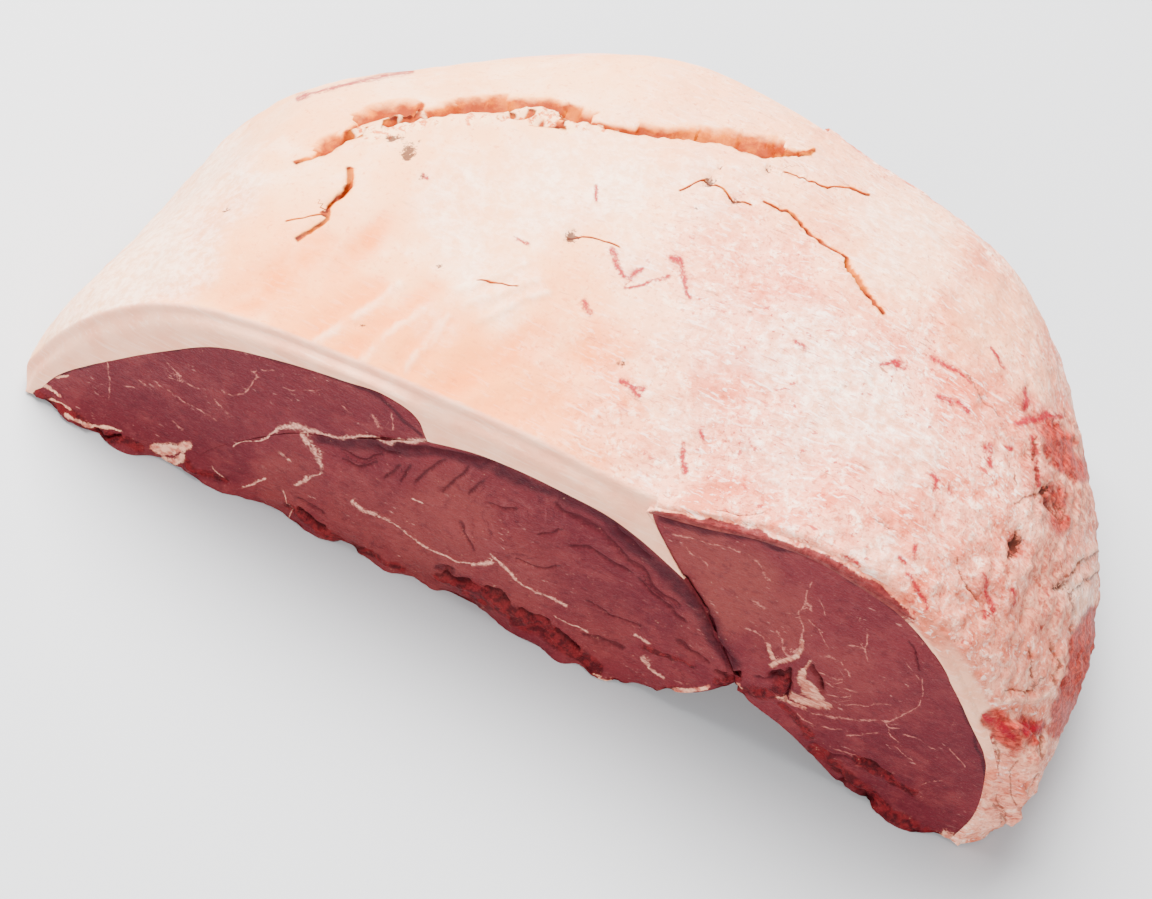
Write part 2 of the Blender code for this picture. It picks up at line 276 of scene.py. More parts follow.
MARBLING = [
    line(2.2, (105, 362), (107, 374), (106, 384), (108, 395)),
    line(2.2, (171, 366), (178, 371), (187, 376), (192, 382), (199, 387)),
    line(1.4, (176, 378), (186, 381)), line(3, (225, 390), (230, 394), (238, 394), (244, 390), (250, 387)),
    line(2.2, (250, 387), (258, 381), (254, 374), (262, 372), (271, 371)),
    line(2.6, (214, 400), (219, 405), (225, 411)),
    line(1.6, (171, 394), (179, 399), (187, 404), (198, 409), (213, 419)),
    line(2.6, (173, 424), (177, 429)), line(1.6, (375, 419), (383, 426)),
    line(1.8, (391, 414), (393, 420), (395, 427)), line(1.2, (284, 387), (292, 388)),
    line(1.2, (312, 389), (318, 389)), line(1.2, (340, 408), (348, 412)), line(1.2, (146, 384), (152, 388)),
    line(1.2, (128, 390), (136, 391)), line(1.2, (163, 386), (168, 390)),
    line(1.6, (671, 531), (684, 533), (696, 536), (716, 541), (737, 547)),
    line(5, (776, 664), (782, 660), (789, 656), (794, 650)),
    line(2.8, (794, 650), (801, 641), (803, 630), (802, 614)),
    line(2.2, (802, 614), (806, 604), (806, 597), (809, 588)),
    line(2.6, (788, 655), (781, 646), (777, 638)), line(2.6, (776, 662), (768, 652), (759, 641)),
    line(1.8, (759, 641), (753, 636), (747, 633)), line(1.6, (790, 614), (800, 612)),
    line(1.6, (812, 606), (806, 600)), line(3.2, (758, 601), (762, 607)),
    line(1.8, (755, 563), (760, 571), (766, 576)), line(1.4, (824, 603), (827, 609)),
    line(1.6, (820, 626), (823, 636), (825, 646)), line(1.4, (815, 622), (822, 628)),
    line(2, (864, 641), (861, 650), (857, 649)), line(1.8, (861, 650), (864, 658)),
    line(1.8, (851, 647), (858, 650)), line(1.6, (826, 658), (834, 662)), line(2.2, (824, 670), (838, 674)),
    line(1.8, (828, 680), (842, 684), (850, 690)), line(1.6, (838, 664), (846, 672)),
    line(1.6, (829, 693), (846, 694)), line(2, (781, 699), (798, 705), (815, 711), (834, 716)),
    line(2.2, (834, 716), (852, 720), (872, 721), (890, 720)),
    line(1.4, (890, 720), (901, 716), (909, 711), (915, 704), (919, 694), (921, 684)),
    line(1.8, (884, 721), (889, 727), (890, 734), (896, 740)), line(1.6, (889, 727), (898, 727)),
    line(1.6, (852, 736), (862, 737), (872, 735)), line(1.4, (909, 735), (922, 739), (937, 746)),
    line(1.2, (921, 783), (937, 780)), line(1.2, (842, 702), (864, 705), (886, 706)),
    line(1.2, (800, 716), (818, 724), (838, 729)), line(1.2, (833, 746), (846, 752), (858, 758)),
    line(1.2, (896, 752), (908, 760)), line(1.2, (952, 752), (960, 764)), line(1.4, (700, 560), (704, 566)),
    line(1.4, (686, 548), (690, 552)), line(1.2, (912, 668), (917, 677)),
]
# Creases and splits: shallow grooves, coloured dark as painted shade
SHADED_CREASES = [
    line(3, (398, 444), (430, 449), (470, 458), (492, 463)), line(2.4, (384, 475), (390, 470), (396, 465)),
    line(2.4, (401, 474), (407, 466)), line(3, (418, 478), (428, 471), (439, 463)),
    line(3, (447, 490), (454, 482), (460, 476), (466, 469)), line(3.4, (471, 493), (478, 487), (485, 481)),
    line(1.6, (341, 451), (352, 455), (366, 458), (378, 456)),
    line(1.6, (346, 461), (358, 464), (372, 462)), line(1.8, (372, 448), (384, 453), (398, 452)),
    line(1.8, (460, 527), (465, 537), (471, 548)), line(1.8, (493, 503), (503, 506), (514, 505)),
    line(1.4, (543, 531), (552, 530), (561, 530)),
    line(2.6, (561, 507), (568, 515), (577, 520), (590, 528), (604, 536), (620, 550), (632, 562)),
    line(2, (574, 547), (589, 553), (608, 562), (628, 576)),
    line(2.6, (632, 562), (646, 580), (660, 596), (676, 608)), line(2, (616, 528), (630, 540), (648, 556)),
    line(2, (640, 584), (660, 606), (684, 622)), line(1.6, (520, 560), (540, 566), (556, 566)),
    line(1.4, (590, 600), (610, 612), (634, 620)), line(2.4, (676, 640), (692, 650), (706, 660)),
    line(1.8, (700, 610), (712, 626), (722, 640), (734, 656)), line(1.8, (440, 566), (452, 570)),
    line(2.4, (458, 582), (472, 588), (486, 596)), line(2, (588, 636), (604, 642), (622, 648)),
    line(2.2, (300, 500), (322, 514)), line(2.6, (742, 686), (752, 692), (760, 690)),
    line(3.4, (855, 762), (866, 769), (878, 775), (892, 782), (908, 790)),
    line(2, (814, 742), (828, 752), (842, 758)), line(1.4, (760, 676), (770, 679), (780, 676)),
    line(1.2, (906, 640), (914, 652), (920, 668)),
]
SHADED_EDGE = [
   
    line(16, (318, 440), (340, 443), (380, 448), (432, 452), (470, 460), (510, 474), (560, 496), (606, 522)),
    line(22, (606, 522), (640, 550), (664, 574), (690, 600), (706, 620), (722, 642), (736, 662)),
    line(9, (655, 518), (690, 525), (730, 533), (770, 542), (800, 552), (836, 566), (870, 586), (910, 622)),
    line(6, (910, 622), (936, 656), (958, 694), (974, 734), (984, 780)),
    line(6, (60, 376), (110, 358), (160, 348), (210, 346), (260, 354), (320, 370), (380, 392), (420, 436)),
]
DEEP_SEAMS = [line(1, *EYE_TAIL_SEAM)]
SHALLOW_SEAMS = [line(1, *edge) for edge in (CAP_TOP, CAP_EYE_SEAM, EYE_TOP, WEDGE_SIDE, TAIL_TOP)]
RED_TRIM = [
    line(13, (32, 392), (56, 402), (78, 416), (98, 430), (118, 440), (136, 447)),
    line(8, (186, 462), (206, 472), (228, 481)), line(12, (284, 508), (302, 520), (322, 531), (344, 541)),
    line(9, (352, 546), (376, 556), (404, 570)), line(15, (440, 576), (462, 584), (486, 598), (512, 612)),
    line(22, (512, 612), (534, 626), (556, 640), (578, 654), (598, 668)),
    line(7, (612, 680), (640, 688), (676, 690)), line(12, (716, 684), (730, 682), (740, 676)),
    line(18, (750, 690), (762, 694), (774, 690), (784, 680)), line(9, (780, 706), (796, 720), (810, 734)),
    line(15, (814, 748), (832, 764), (850, 780), (872, 798), (894, 814), (920, 826)),
    line(13, (852, 760), (868, 769), (884, 777), (900, 786), (912, 794)), line(12, (930, 830), (948, 836)),
    line(7, (640, 648), (664, 658), (690, 668)),
]
WHITE_TRIM = [
    line(3.4, (34, 384), (46, 386), (60, 393)), line(2.6, (46, 378), (58, 377), (70, 376)),
    line(3, (48, 396), (60, 400), (70, 406)), line(5, (66, 412), (78, 417), (92, 421)),
    line(3.4, (92, 421), (106, 425), (122, 430)), line(10, (150, 446), (162, 451), (176, 453), (190, 450)),
    line(6, (160, 457), (172, 460), (184, 459)), line(4, (596, 674), (606, 679), (618, 684)),
    line(7, (646, 689), (664, 693), (684, 693), (706, 690)), line(3.4, (742, 682), (746, 688)),
    line(10, (948, 834), (957, 838), (963, 842)),
]
TENDON = [
    line(7, (774, 666), (782, 662), (790, 658)), line(5, (790, 658), (797, 652), (801, 644)),
    line(4, (776, 660), (768, 652)), line(4, (808, 660), (804, 672)), line(8, (804, 672), (802, 684)),
    line(13, (806, 686), (812, 694), (816, 700)), line(9, (792, 694), (806, 700), (826, 705)),
    line(4, (776, 694), (790, 700), (806, 706)),
]
# Holes and gaps at the ragged foot: dented, and coloured near black as painted shadow
SHADOWED_HOLES = [
    line(9, (772, 676), (782, 677), (790, 680)), line(5, (792, 672), (790, 686), (784, 696)),
    line(5, (812, 664), (818, 676), (820, 690)), line(7, (448, 572), (456, 579), (466, 584)),
    line(5, (486, 592), (498, 596), (508, 603)), line(6, (522, 610), (534, 618), (548, 624)),
    line(5, (556, 634), (568, 640), (580, 648)), line(6, (716, 672), (728, 676), (740, 674)),
    line(5, (858, 762), (872, 768), (888, 774)), line(5, (838, 776), (856, 788), (872, 800)),
    line(5, (296, 510), (310, 520), (326, 528)), line(4, (96, 426), (106, 434), (118, 436)),
]

TAN_AREAS = [
    (735, 590, 70, 1.0), (700, 560, 60, 0.8), (780, 620, 60, 0.7), (840, 680, 70, 0.5),
    (440, 530, 100, 0.7), (520, 570, 80, 0.6), (360, 520, 80, 0.6), (600, 620, 60, 0.5),
    (290, 480, 60, 0.6), (690, 640, 40, 0.5), (500, 490, 60, 0.4), (340, 380, 60, 0.3),
]
PLUM_AREAS = [
    (190, 400, 120, 0.8), (300, 400, 90, 0.5), (110, 400, 70, 0.8), (600, 570, 90, 0.8),
    (660, 600, 60, 0.8), (860, 620, 60, 0.5), (930, 700, 80, 0.7), (900, 780, 90, 0.9), (230, 460, 40, 0.9),
    (560, 530, 60, 0.6), (380, 466, 70, 0.6), (960, 760, 60, 0.8), (820, 760, 60, 0.6),
]

# The centre of the whorl in the middle muscle, and how far its curved fibres reach
WHORL = (515, 512)
WHORL_REACH = 95

# Marks on the fat: cracks, brown grooves, pits and blood
ORANGE_CRACKS = [
    line(6, (306, 158), (312, 156)), line(9, (312, 156), (318, 153)),
    line(13, (318, 153), (332, 147), (344, 141)), line(8, (344, 141), (352, 138), (358, 135)),
    line(6, (350, 129), (357, 123)), line(11, (357, 122), (366, 117), (376, 113), (388, 111)),
    line(11, (388, 111), (398, 110), (413, 108)),
    line(9, (392, 122), (404, 119), (420, 119), (437, 117), (450, 114), (461, 112)),
    line(13, (461, 111), (470, 109), (480, 107), (494, 106), (510, 105)),
    line(8, (508, 116), (522, 118), (536, 116)), line(8, (516, 105), (536, 105), (550, 107), (562, 111)),
    line(15, (562, 111), (572, 114), (584, 116)), line(9, (584, 116), (594, 119)),
    line(6, (540, 124), (550, 126), (560, 125)), line(6, (595, 122), (606, 126), (619, 129), (635, 134)),
    line(8, (635, 134), (650, 136), (667, 136), (684, 136), (698, 137)),
    line(12, (698, 137), (710, 139), (722, 142), (738, 145)), line(15, (738, 145), (754, 147), (768, 148)),
    line(11, (768, 148), (780, 149)), line(8, (780, 149), (789, 150)), line(4, (789, 150), (800, 151)),
    line(7, (348, 180), (347, 188), (344, 192)),
    line(5, (344, 192), (336, 198), (330, 204), (329, 211), (328, 216)),
    line(4, (328, 216), (320, 223), (313, 227), (306, 233)), line(2, (298, 217), (308, 214), (318, 212)),
    line(2, (578, 238), (590, 239), (600, 241), (607, 243)),
    line(3, (771, 205), (780, 209), (789, 214), (801, 224)),
    line(3.4, (801, 224), (814, 236), (828, 247), (843, 257)),
    line(6, (847, 262), (853, 272), (861, 281), (869, 291)), line(4, (869, 291), (875, 297), (880, 303)),
    line(2.2, (796, 174), (808, 179), (822, 185), (840, 188), (856, 191)), line(2, (688, 185), (700, 181)),
    line(2, (712, 183), (722, 188)), line(2.6, (728, 192), (736, 197)),
    line(1.8, (490, 281), (498, 281), (506, 283)),
]
BROWN_GROOVES = [
    line(2.2, (971, 378), (975, 386), (979, 398), (988, 406), (998, 413)),
    line(4, (1036, 490), (1043, 494), (1049, 504), (1056, 514), (1060, 524)),
    line(2.4, (1014, 503), (1024, 498), (1036, 493)), line(2.6, (1060, 508), (1065, 512), (1064, 518)),
    line(2.2, (1006, 460), (1012, 470), (1016, 482)), line(2.4, (1034, 440), (1037, 458), (1039, 480)),
    line(3, (1066, 577), (1076, 570), (1086, 561), (1094, 553)),
    line(2.6, (1072, 590), (1084, 582), (1096, 572)), line(3.4, (1068, 596), (1070, 610), (1071, 630)),
    line(3, (1056, 586), (1062, 590), (1066, 584)), line(2, (880, 520), (890, 525), (896, 530)),
    line(2.6, (996, 742), (998, 760), (997, 780), (999, 800), (1003, 818)),
    line(2.2, (1030, 650), (1034, 668), (1036, 688)), line(2, (1052, 640), (1056, 660), (1054, 680)),
    line(2, (1008, 690), (1022, 694), (1036, 690), (1044, 680)),
    line(3.4, (989, 744), (993, 766), (991, 790), (997, 812), (1004, 826)),
    line(3, (1042, 738), (1039, 762), (1033, 784), (1023, 806), (1012, 824)),
    line(2.2, (1012, 758), (1010, 776), (1014, 798)), line(2, (960, 560), (966, 580), (978, 600)),
    line(1.8, (720, 510), (740, 515), (762, 514)),
]
BLOOD_LINES = [
    line(5.4, (613, 252), (614, 260), (616, 268)),
    line(3.5, (616, 268), (621, 274), (627, 277), (632, 272)), line(5.4, (632, 271), (637, 267)),
    line(2.2, (627, 287), (640, 285), (654, 280), (667, 275)), line(7.4, (673, 256), (678, 259)),
    line(3.5, (681, 264), (684, 274), (685, 284), (689, 296)),
    line(4.1, (582, 302), (584, 308), (588, 314)), line(4.1, (622, 380), (630, 384), (636, 392)),
    line(2.7, (630, 384), (642, 385)), line(4.9, (792, 346), (796, 351), (799, 354)),
    line(7.5, (892, 360), (898, 363), (903, 366)), line(2.7, (880, 362), (890, 360)),
    line(4.1, (934, 358), (946, 364), (960, 371)), line(2.2, (960, 371), (968, 378), (971, 384)),
    line(3.5, (936, 398), (946, 403), (954, 407), (961, 414)), line(3, (994, 352), (998, 362), (1002, 368)),
    line(4.5, (1024, 388), (1027, 398), (1026, 408)),
    line(5, (1019, 423), (1032, 418), (1046, 416), (1060, 415)),
    line(3, (1030, 436), (1036, 450), (1037, 464), (1040, 482)),
    line(4.6, (986, 450), (987, 460), (989, 468)), line(5, (1006, 445), (1011, 446)),
    line(4.2, (908, 576), (914, 583), (918, 590)), line(2.4, (918, 590), (926, 602), (930, 610)),
    line(4.1, (903, 558), (905, 561)), line(3.2, (917, 549), (917, 556)),
    line(3, (981, 576), (985, 590), (991, 602), (993, 614)), line(3.2, (1010, 590), (1012, 600)),
    line(4.1, (983, 612), (983, 616)), line(2.7, (930, 474), (936, 478), (936, 486)),
    line(3, (950, 488), (952, 492)), line(3.2, (848, 556), (854, 560)),
    line(4.6, (682, 447), (680, 458), (683, 468)), line(3.2, (700, 436), (704, 444)),
    line(5.4, (986, 718), (998, 726), (1008, 736)), line(5.4, (1020, 730), (1030, 724), (1040, 728)),
    line(3.5, (993, 742), (992, 756), (995, 768)), line(2.4, (596, 188), (598, 198)),
    line(2.7, (424, 176), (428, 180)), line(2.2, (520, 236), (526, 240)), line(5, (300, 98), (308, 95)),
    line(2.6, (310, 94), (324, 90), (340, 86), (358, 81)),
    line(3.2, (358, 81), (376, 77), (392, 74), (410, 71)),
]
BLOOD_WASH = [
    (1060, 446, 26, 1.0), (1052, 430, 20, 0.8), (1066, 462, 22, 1.0), (1040, 420, 24, 0.6),
    (1026, 400, 20, 0.6), (1056, 500, 24, 0.7), (1060, 524, 20, 0.7), (1004, 368, 26, 0.35),
    (1036, 480, 30, 0.45), (1080, 470, 22, 0.8), (1092, 644, 30, 1.5), (1088, 666, 32, 1.5),
    (1080, 690, 32, 1.5), (1070, 712, 28, 1.3), (1098, 620, 22, 1.2), (1058, 730, 16, 0.8),
    (994, 722, 18, 1.0), (1004, 734, 19, 1.0), (1026, 728, 18, 1.0), (1040, 726, 14, 0.8),
    (894, 362, 14, 0.6), (676, 259, 12, 0.5), (630, 272, 16, 0.4), (686, 278, 14, 0.4),
    (1016, 546, 22, 0.6), (986, 590, 26, 0.5), (1006, 600, 28, 0.35), (960, 560, 26, 0.3),
    (940, 520, 22, 0.3), (1060, 560, 30, 0.35), (1030, 580, 30, 0.3), (1040, 620, 30, 0.3),
    (1020, 660, 26, 0.3), (1050, 600, 24, 0.35), (900, 540, 26, 0.2), (640, 410, 16, 0.3),
    (822, 462, 14, 0.3), (700, 500, 24, 0.2), (790, 510, 26, 0.25), (850, 520, 26, 0.2),
    (990, 450, 12, 0.4), (1010, 446, 12, 0.5), (962, 372, 12, 0.3), (948, 404, 12, 0.3),
    (1012, 780, 14, 0.3), (1004, 800, 14, 0.25), (946, 300, 22, 0.2), (900, 310, 18, 0.2),
    (936, 330, 24, 0.2), (980, 640, 24, 0.2), (586, 308, 10, 0.3),
]
DARK_SPOTS = [
    (406, 154, 8, 0.9), (411, 151, 8, 0.9), (417, 147, 6, 0.5), (392, 137, 8, 0.7), (402, 136, 8, 0.6),
    (711, 181, 8, 0.9), (707, 183, 6, 0.6), (735, 197, 8, 0.7), (731, 195, 6, 0.6), (568, 237, 8, 0.8),
    (574, 239, 6, 0.5), (1016, 547, 10, 1.0), (1020, 541, 8, 0.9), (1019, 532, 4, 0.8), (1009, 556, 8, 0.8),
    (225, 205, 4, 0.7), (423, 178, 6, 0.6), (421, 184, 4, 0.5), (1060, 587, 8, 0.6), (770, 165, 6, 0.5),
    (724, 168, 4, 0.5), (440, 268, 4, 0.5), (622, 363, 6, 0.5), (1046, 492, 6, 0.8), (700, 206, 6, 0.3),
    (891, 527, 6, 0.5), (360, 330, 4, 0.4), (194, 331, 6, 0.5),
]
FLAP = [(1014, 742, 22, 1.0), (1018, 764, 24, 1.0), (1012, 788, 20, 1.0), (1008, 810, 14, 0.9)]
FLANK = [
    (1052, 440, 46, 1.0), (1062, 500, 50, 1.0), (1050, 560, 44, 0.8), (1044, 610, 46, 0.7),
    (1078, 670, 44, 0.9), (1010, 560, 44, 0.55), (1000, 620, 50, 0.5), (1020, 680, 44, 0.6),
    (1022, 740, 40, 0.9), (1000, 800, 36, 0.7), (980, 540, 60, 0.4), (930, 520, 60, 0.35),
    (1010, 420, 60, 0.4), (980, 360, 50, 0.25), (960, 600, 60, 0.4), (860, 530, 70, 0.3),
    (760, 490, 60, 0.25), (690, 470, 50, 0.2),
]
PEACH_AREAS = [
    (330, 330, 110, 0.8), (430, 370, 110, 0.9), (520, 410, 100, 1.0), (600, 430, 80, 0.8),
    (250, 260, 110, 0.6), (320, 240, 90, 0.5), (560, 310, 90, 0.6), (590, 360, 80, 0.7),
    (380, 200, 80, 0.3), (330, 110, 80, 0.4), (640, 90, 120, 0.25), (850, 480, 50, 0.25),
    (760, 520, 50, 0.3), (930, 320, 50, 0.5), (880, 310, 40, 0.4),
]
PALE_AREAS = [
    (470, 210, 90, 0.7), (540, 190, 90, 0.7), (610, 170, 90, 0.7), (690, 190, 70, 0.6), (500, 280, 70, 0.7),
    (440, 320, 50, 0.5), (850, 400, 90, 0.9), (800, 350, 80, 0.8), (780, 450, 70, 0.6), (900, 450, 70, 0.7),
    (900, 240, 90, 0.6), (720, 330, 90, 0.5), (1075, 600, 34, 0.9), (690, 420, 50, 0.5),
    (640, 240, 60, 0.5), (880, 560, 50, 0.6), (210, 180, 90, 0.8), (100, 310, 110, 1.0),
    (160, 240, 100, 1.0),
]
SMOOTH_AREAS = [
    (900, 240, 110, 1.0), (820, 180, 90, 0.9), (990, 320, 80, 0.8), (760, 110, 110, 1.0),
    (640, 90, 120, 0.9), (1030, 380, 40, 0.5), (560, 80, 110, 1.0), (860, 250, 80, 0.7),
]
CREAMY_LUMPS = [
    (372, 134, 14, 0.9), (388, 130, 12, 1.0), (404, 127, 11, 1.0), (420, 126, 10, 0.9), (436, 124, 9, 0.8),
    (356, 130, 9, 0.8), (470, 120, 10, 0.8), (488, 118, 9, 0.9), (506, 116, 9, 1.0), (522, 110, 9, 1.0),
    (540, 114, 10, 1.0), (552, 120, 11, 1.0), (536, 122, 8, 0.9), (572, 125, 9, 1.0), (588, 126, 8, 0.9),
    (604, 129, 9, 0.8), (620, 132, 8, 0.6), (400, 114, 7, 0.7), (424, 113, 7, 0.6), (450, 122, 7, 0.6),
    (722, 146, 7, 0.5), (744, 150, 6, 0.6), (760, 152, 6, 0.6),
]
# Folds between the ridges: grooves in a peach tone, deepened as painted shade
PEACH_SHADED_FOLDS = [
    line(34, (296, 350), (322, 330), (350, 306), (380, 290)),
    line(28, (330, 372), (352, 352), (380, 330), (404, 312), (430, 290)),
    line(30, (378, 396), (402, 372), (420, 346), (440, 322)),
    line(40, (430, 400), (470, 372), (500, 352), (540, 340)),
    line(40, (236, 300), (262, 288), (290, 268), (318, 246)),
    line(44, (470, 428), (520, 410), (560, 404), (610, 420)),
    line(40, (560, 360), (590, 350), (610, 376), (604, 400)), line(34, (340, 262), (366, 246), (384, 228)),
    line(30, (196, 230), (214, 212), (236, 196)), line(30, (120, 330), (160, 300), (200, 284)),
]
# Raised ridges, lightened on their crests as painted highlight
HIGHLIT_RIDGES = [
    line(9, (306, 352), (330, 336), (356, 316), (384, 296), (404, 284)),
    line(8, (352, 366), (374, 348), (396, 328), (420, 306)),
    line(8, (396, 384), (412, 362), (430, 338), (446, 314)),
    line(7, (460, 306), (486, 298), (510, 290), (536, 278)),
    line(6, (452, 290), (476, 284), (500, 274), (526, 262)),
    line(7, (478, 322), (500, 314), (524, 300), (548, 292)), line(6, (1076, 566), (1086, 558), (1096, 548)),
    line(6, (1080, 580), (1090, 574), (1100, 566)),
    line(6, (1000, 700), (1016, 702), (1034, 700), (1050, 694)),
]

# Relief, as in the solids: where the cut stands out, waves of the fat, and the fold before the crest crack
SWELLS = [(2.0, 160, 60, 40, 30), (1.5, 290, 35, 70, 30)]
FAT_WAVES = [(1.1, 32, 25, 5), (0.7, 13, 17, -9)]
WAVES_GROW, WAVES_END = 0.15, 0.08
FRONT_LUMP = (3.0, 352, 12, 45, 25)
LUMP_DEPTH = 0.06
CREST_CRACK = [
    (50, 0.53), (57, 0.66), (84, 0.71), (106, 0.757), (127, 0.735), (149, 0.706), (175, 0.785), (198, 0.86),
]
FOLD_HEIGHT = 2.0
FOLD_WIDTH = 0.05
CRACK_ENDS = (45, 205)
CRACK_FADE = 15

# The rim of the fat at both cuts, which falls back and is rounded, but hardly where the fat is thin
RIM_FALL, RIM_FALL_REACH = 3.0, 12.0
RIM_ROUNDING = 2.4
THIN_FAT, THICK_FAT = 2.0, 9.0
THIN_RIM_SHARE = 0.25

# Cracks in the fat: how far their walls reach, in half widths, and how deep they are
WIDE_CRACK = 7.5
STEEP_WALL, GENTLE_WALL, NARROW_WALL = 0.8, 2.3, 1.2
CRACK_DEPTH, CRACK_DEPTH_PER_WIDTH = 4.5, 0.38

# Stretches of the rim, as the x where each starts, is full, fades and ends, and where its pale band fades out
THIN_SKIN = (202, 214, 290, 335)
RED_SLIVER = (204, 212, 285, 310)
BAND_END = (336, 350)

# Where the relief of the fat fades out before a cut, and how far the cut's pale band goes round the rim
FADE_REACH, THIN_FADE_REACH = 6, 1.5
BAND_REACH = 3.5

# The flap of skin, the seams between muscles, and how far the upper far corner of the lean is drawn in
FLAP_HEIGHT = 3.0
SEAM_WIDTH = 1.4
FAR_CORNER = (2.0, 1.6)

# The ragged foot of the cut: how far it stands out over the board at some x, and up to what height
FOOT_HEIGHT = 14.0
FOOT_EDGE = [
    (0, 1.3), (12, 2.1), (18, 4.6), (29, 3.0), (36, 5.2), (42, 4.9), (48, 1.8), (61, 2.3), (73, 2.5),
    (84, 0.1), (96, -0.8), (107, 1.4), (113, 1.2), (118, -0.9), (131, 0.3), (136, 1.8), (147, -0.9),
    (154, 0.2), (159, -1.8), (171, -1.7), (183, 1.6), (195, 1.7), (205, 4.0), (210, 1.9), (216, 3.7),
    (227, 1.1), (232, -0.6), (250, 0), (300, 0), (316, 0.3), (332, 4.3), (338, 3.4), (345, 0.6), (356, 1.5),
]

# Bumps of the two surfaces, as (size, seed). The lean's are added to the seed of each muscle
FAT_BUMPS = ((15, 21), (5, 31), (2.4, 41))
LEAN_BUMPS = ((24, 0), (4, 7), (14, 3))


# Bodies between two edges

class Lens:
    """A closed body between a lower and an upper edge of the front cut, carried back to the far side.

    Its points are rings, one at each place along the edges. A ring runs up the front cut, back over the upper
    side, down the far side and forward along the lower side, which takes one depth in every step.
    """

    def __init__(self, lower, upper, shares, depths, step=1):
        self.across, self.deep, self.step = len(shares), len(depths), step
        under = np.arange(self.deep - 1, -1, -step)[1:-1]
        self.share = np.r_[shares, np.ones(self.deep - 2), shares[::-1], np.zeros(len(under))]
        self.depth = np.r_[np.zeros(self.across), depths[1:-1], np.ones(self.across), depths[under]]
        self.count, self.slots = len(lower), len(self.share)
        self.front = np.arange(self.slots) < self.across
        self.back = (self.depth == 1) & ~self.front
        self.on_cut = self.front | self.back
        self.from_cut = np.minimum(self.depth, 1 - self.depth) * USUAL_DEPTH
        self.top, self.bottom = self.share == 1, self.share == 0
        self.lower, self.upper = lower, upper
        along = np.gradient(upper, axis=0)
        along /= np.linalg.norm(along, axis=1)[:, None]
        self.outward = np.column_stack([-along[:, 1], along[:, 0]])

    def flats(self, raised=None):
        """Each point as (x, z) of the front outline, with the upper edge raised by some amount."""
        upper = np.repeat(self.upper[:, None], self.slots, axis=1)
        if raised is not None:
            upper = upper + self.outward[:, None] * raised[..., None]
        lower = self.lower[:, None]
        flat = lower + self.share[:, None] * (upper - lower)
        flat[[0, -1]] = upper[[0, -1]]
        return flat

    def normals(self, points):
        """The direction out of the body at each point."""
        ahead = np.roll(points, -1, axis=1) - np.roll(points, 1, axis=1)
        out = np.cross(np.gradient(points, axis=0), ahead)
        return out / np.maximum(np.linalg.norm(out, axis=-1, keepdims=True), 1e-9)

    def numbers(self):
        """The number of the vertex at each place, where points that meet at the tips share one."""
        ids = np.arange(self.count * self.slots).reshape(self.count, self.slots)
        first_top = self.across - 1
        last_top = first_top + self.deep - 1
        for tip in (0, -1):
            ids[tip, self.front] = ids[tip, first_top]
            ids[tip, self.back] = ids[tip, last_top]
            for n, slot in enumerate(range(last_top + self.across, self.slots), start=1):
                ids[tip, slot] = ids[tip, last_top - n * self.step]
        return ids

    def tip_faces(self, ids, tip, ring):
        """The faces between a tip and the ring next to it."""
        last_top = self.across + self.deep - 2
        faces = []
        for slot in range(self.slots):
            after = (slot + 1) % self.slots
            chain = [ids[tip, slot], ids[tip, after]]
            if slot >= last_top + self.across - 1:
                n = slot - (last_top + self.across - 1)
                start = last_top - n * self.step
                chain = list(ids[tip, start - self.step : start + 1][::-1])
            pair = [ids[ring, slot], ids[ring, after]]
            corners = pair + chain[::-1] if tip == 0 else pair[::-1] + chain
            kept = [int(c) for n, c in enumerate(corners) if c != corners[n - 1]]
            if len(kept) > 2:
                faces.append(kept)
        return faces

    def mesh(self, name, points, fields):
        """The mesh of this body, with its fields as attributes of its points."""
        ids = self.numbers()
        inner, after = ids[1:-1], np.roll(ids, -1, axis=1)[1:-1]
        quads = np.stack([inner[:-1], inner[1:], after[1:], after[:-1]], axis=-1).reshape(-1, 4)
        faces = quads.tolist() + self.tip_faces(ids, 0, 1) + self.tip_faces(ids, -1, -2)
        used = np.unique(ids)
        new = np.zeros(ids.size, int)
        new[used] = np.arange(len(used))
        faces = [[int(new[c]) for c in face] for face in faces]
        mesh = bpy.data.meshes.new(name)
        places = (points.reshape(-1, 3)[used] + FRONT_LEFT_TIP) * MM
        mesh.from_pydata(places.tolist(), [], faces)
        mesh.update()
        for field, values in fields.items():
            layer = mesh.attributes.new(field, "FLOAT", "POINT")
            layer.data.foreach_set("value", np.ascontiguousarray(values.reshape(-1)[used], np.float32))
        return mesh


# Fields of the two kinds of surface

def towards_camera(points, normals):
    """How squarely each point faces the photograph's camera, below 0 where it looks away."""
    _, _, ahead = camera_axes()
    ray = points - (CAMERA_AIM - ahead * CAMERA_DISTANCE)
    ray /= np.linalg.norm(ray, axis=-1, keepdims=True)
    return -np.sum(ray * normals, axis=-1)


def drawn(pixels, lines, shown):
    """The side, reach and width of some drawn lines, which end where the surface isn't shown."""
    side, reach, width = beside(pixels, lines)
    return side, np.where(shown > 0.5, reach, FAR), width


def groove(side, reach, width, soft=1.4, flat=0.3):
    """1 on a drawn line, up to flat half widths from its middle, and 0 beyond soft half widths."""
    return 1 - smooth(flat, soft, reach / (width / 2))


def line_fields(**lines):
    """What a mesh carries of its drawn lines: the side and the reach of each kind."""
    parts = "_side", "_reach"
    return {name + part: field for name, drawn_as in lines.items() for part, field in zip(parts, drawn_as)}


def swell(flat, height, x, x_width, z, z_width):
    """A smooth round swelling on the front cut or over the rim."""
    return height * bump(flat[..., 0], x, x_width) * bump(flat[..., 1], z, z_width)


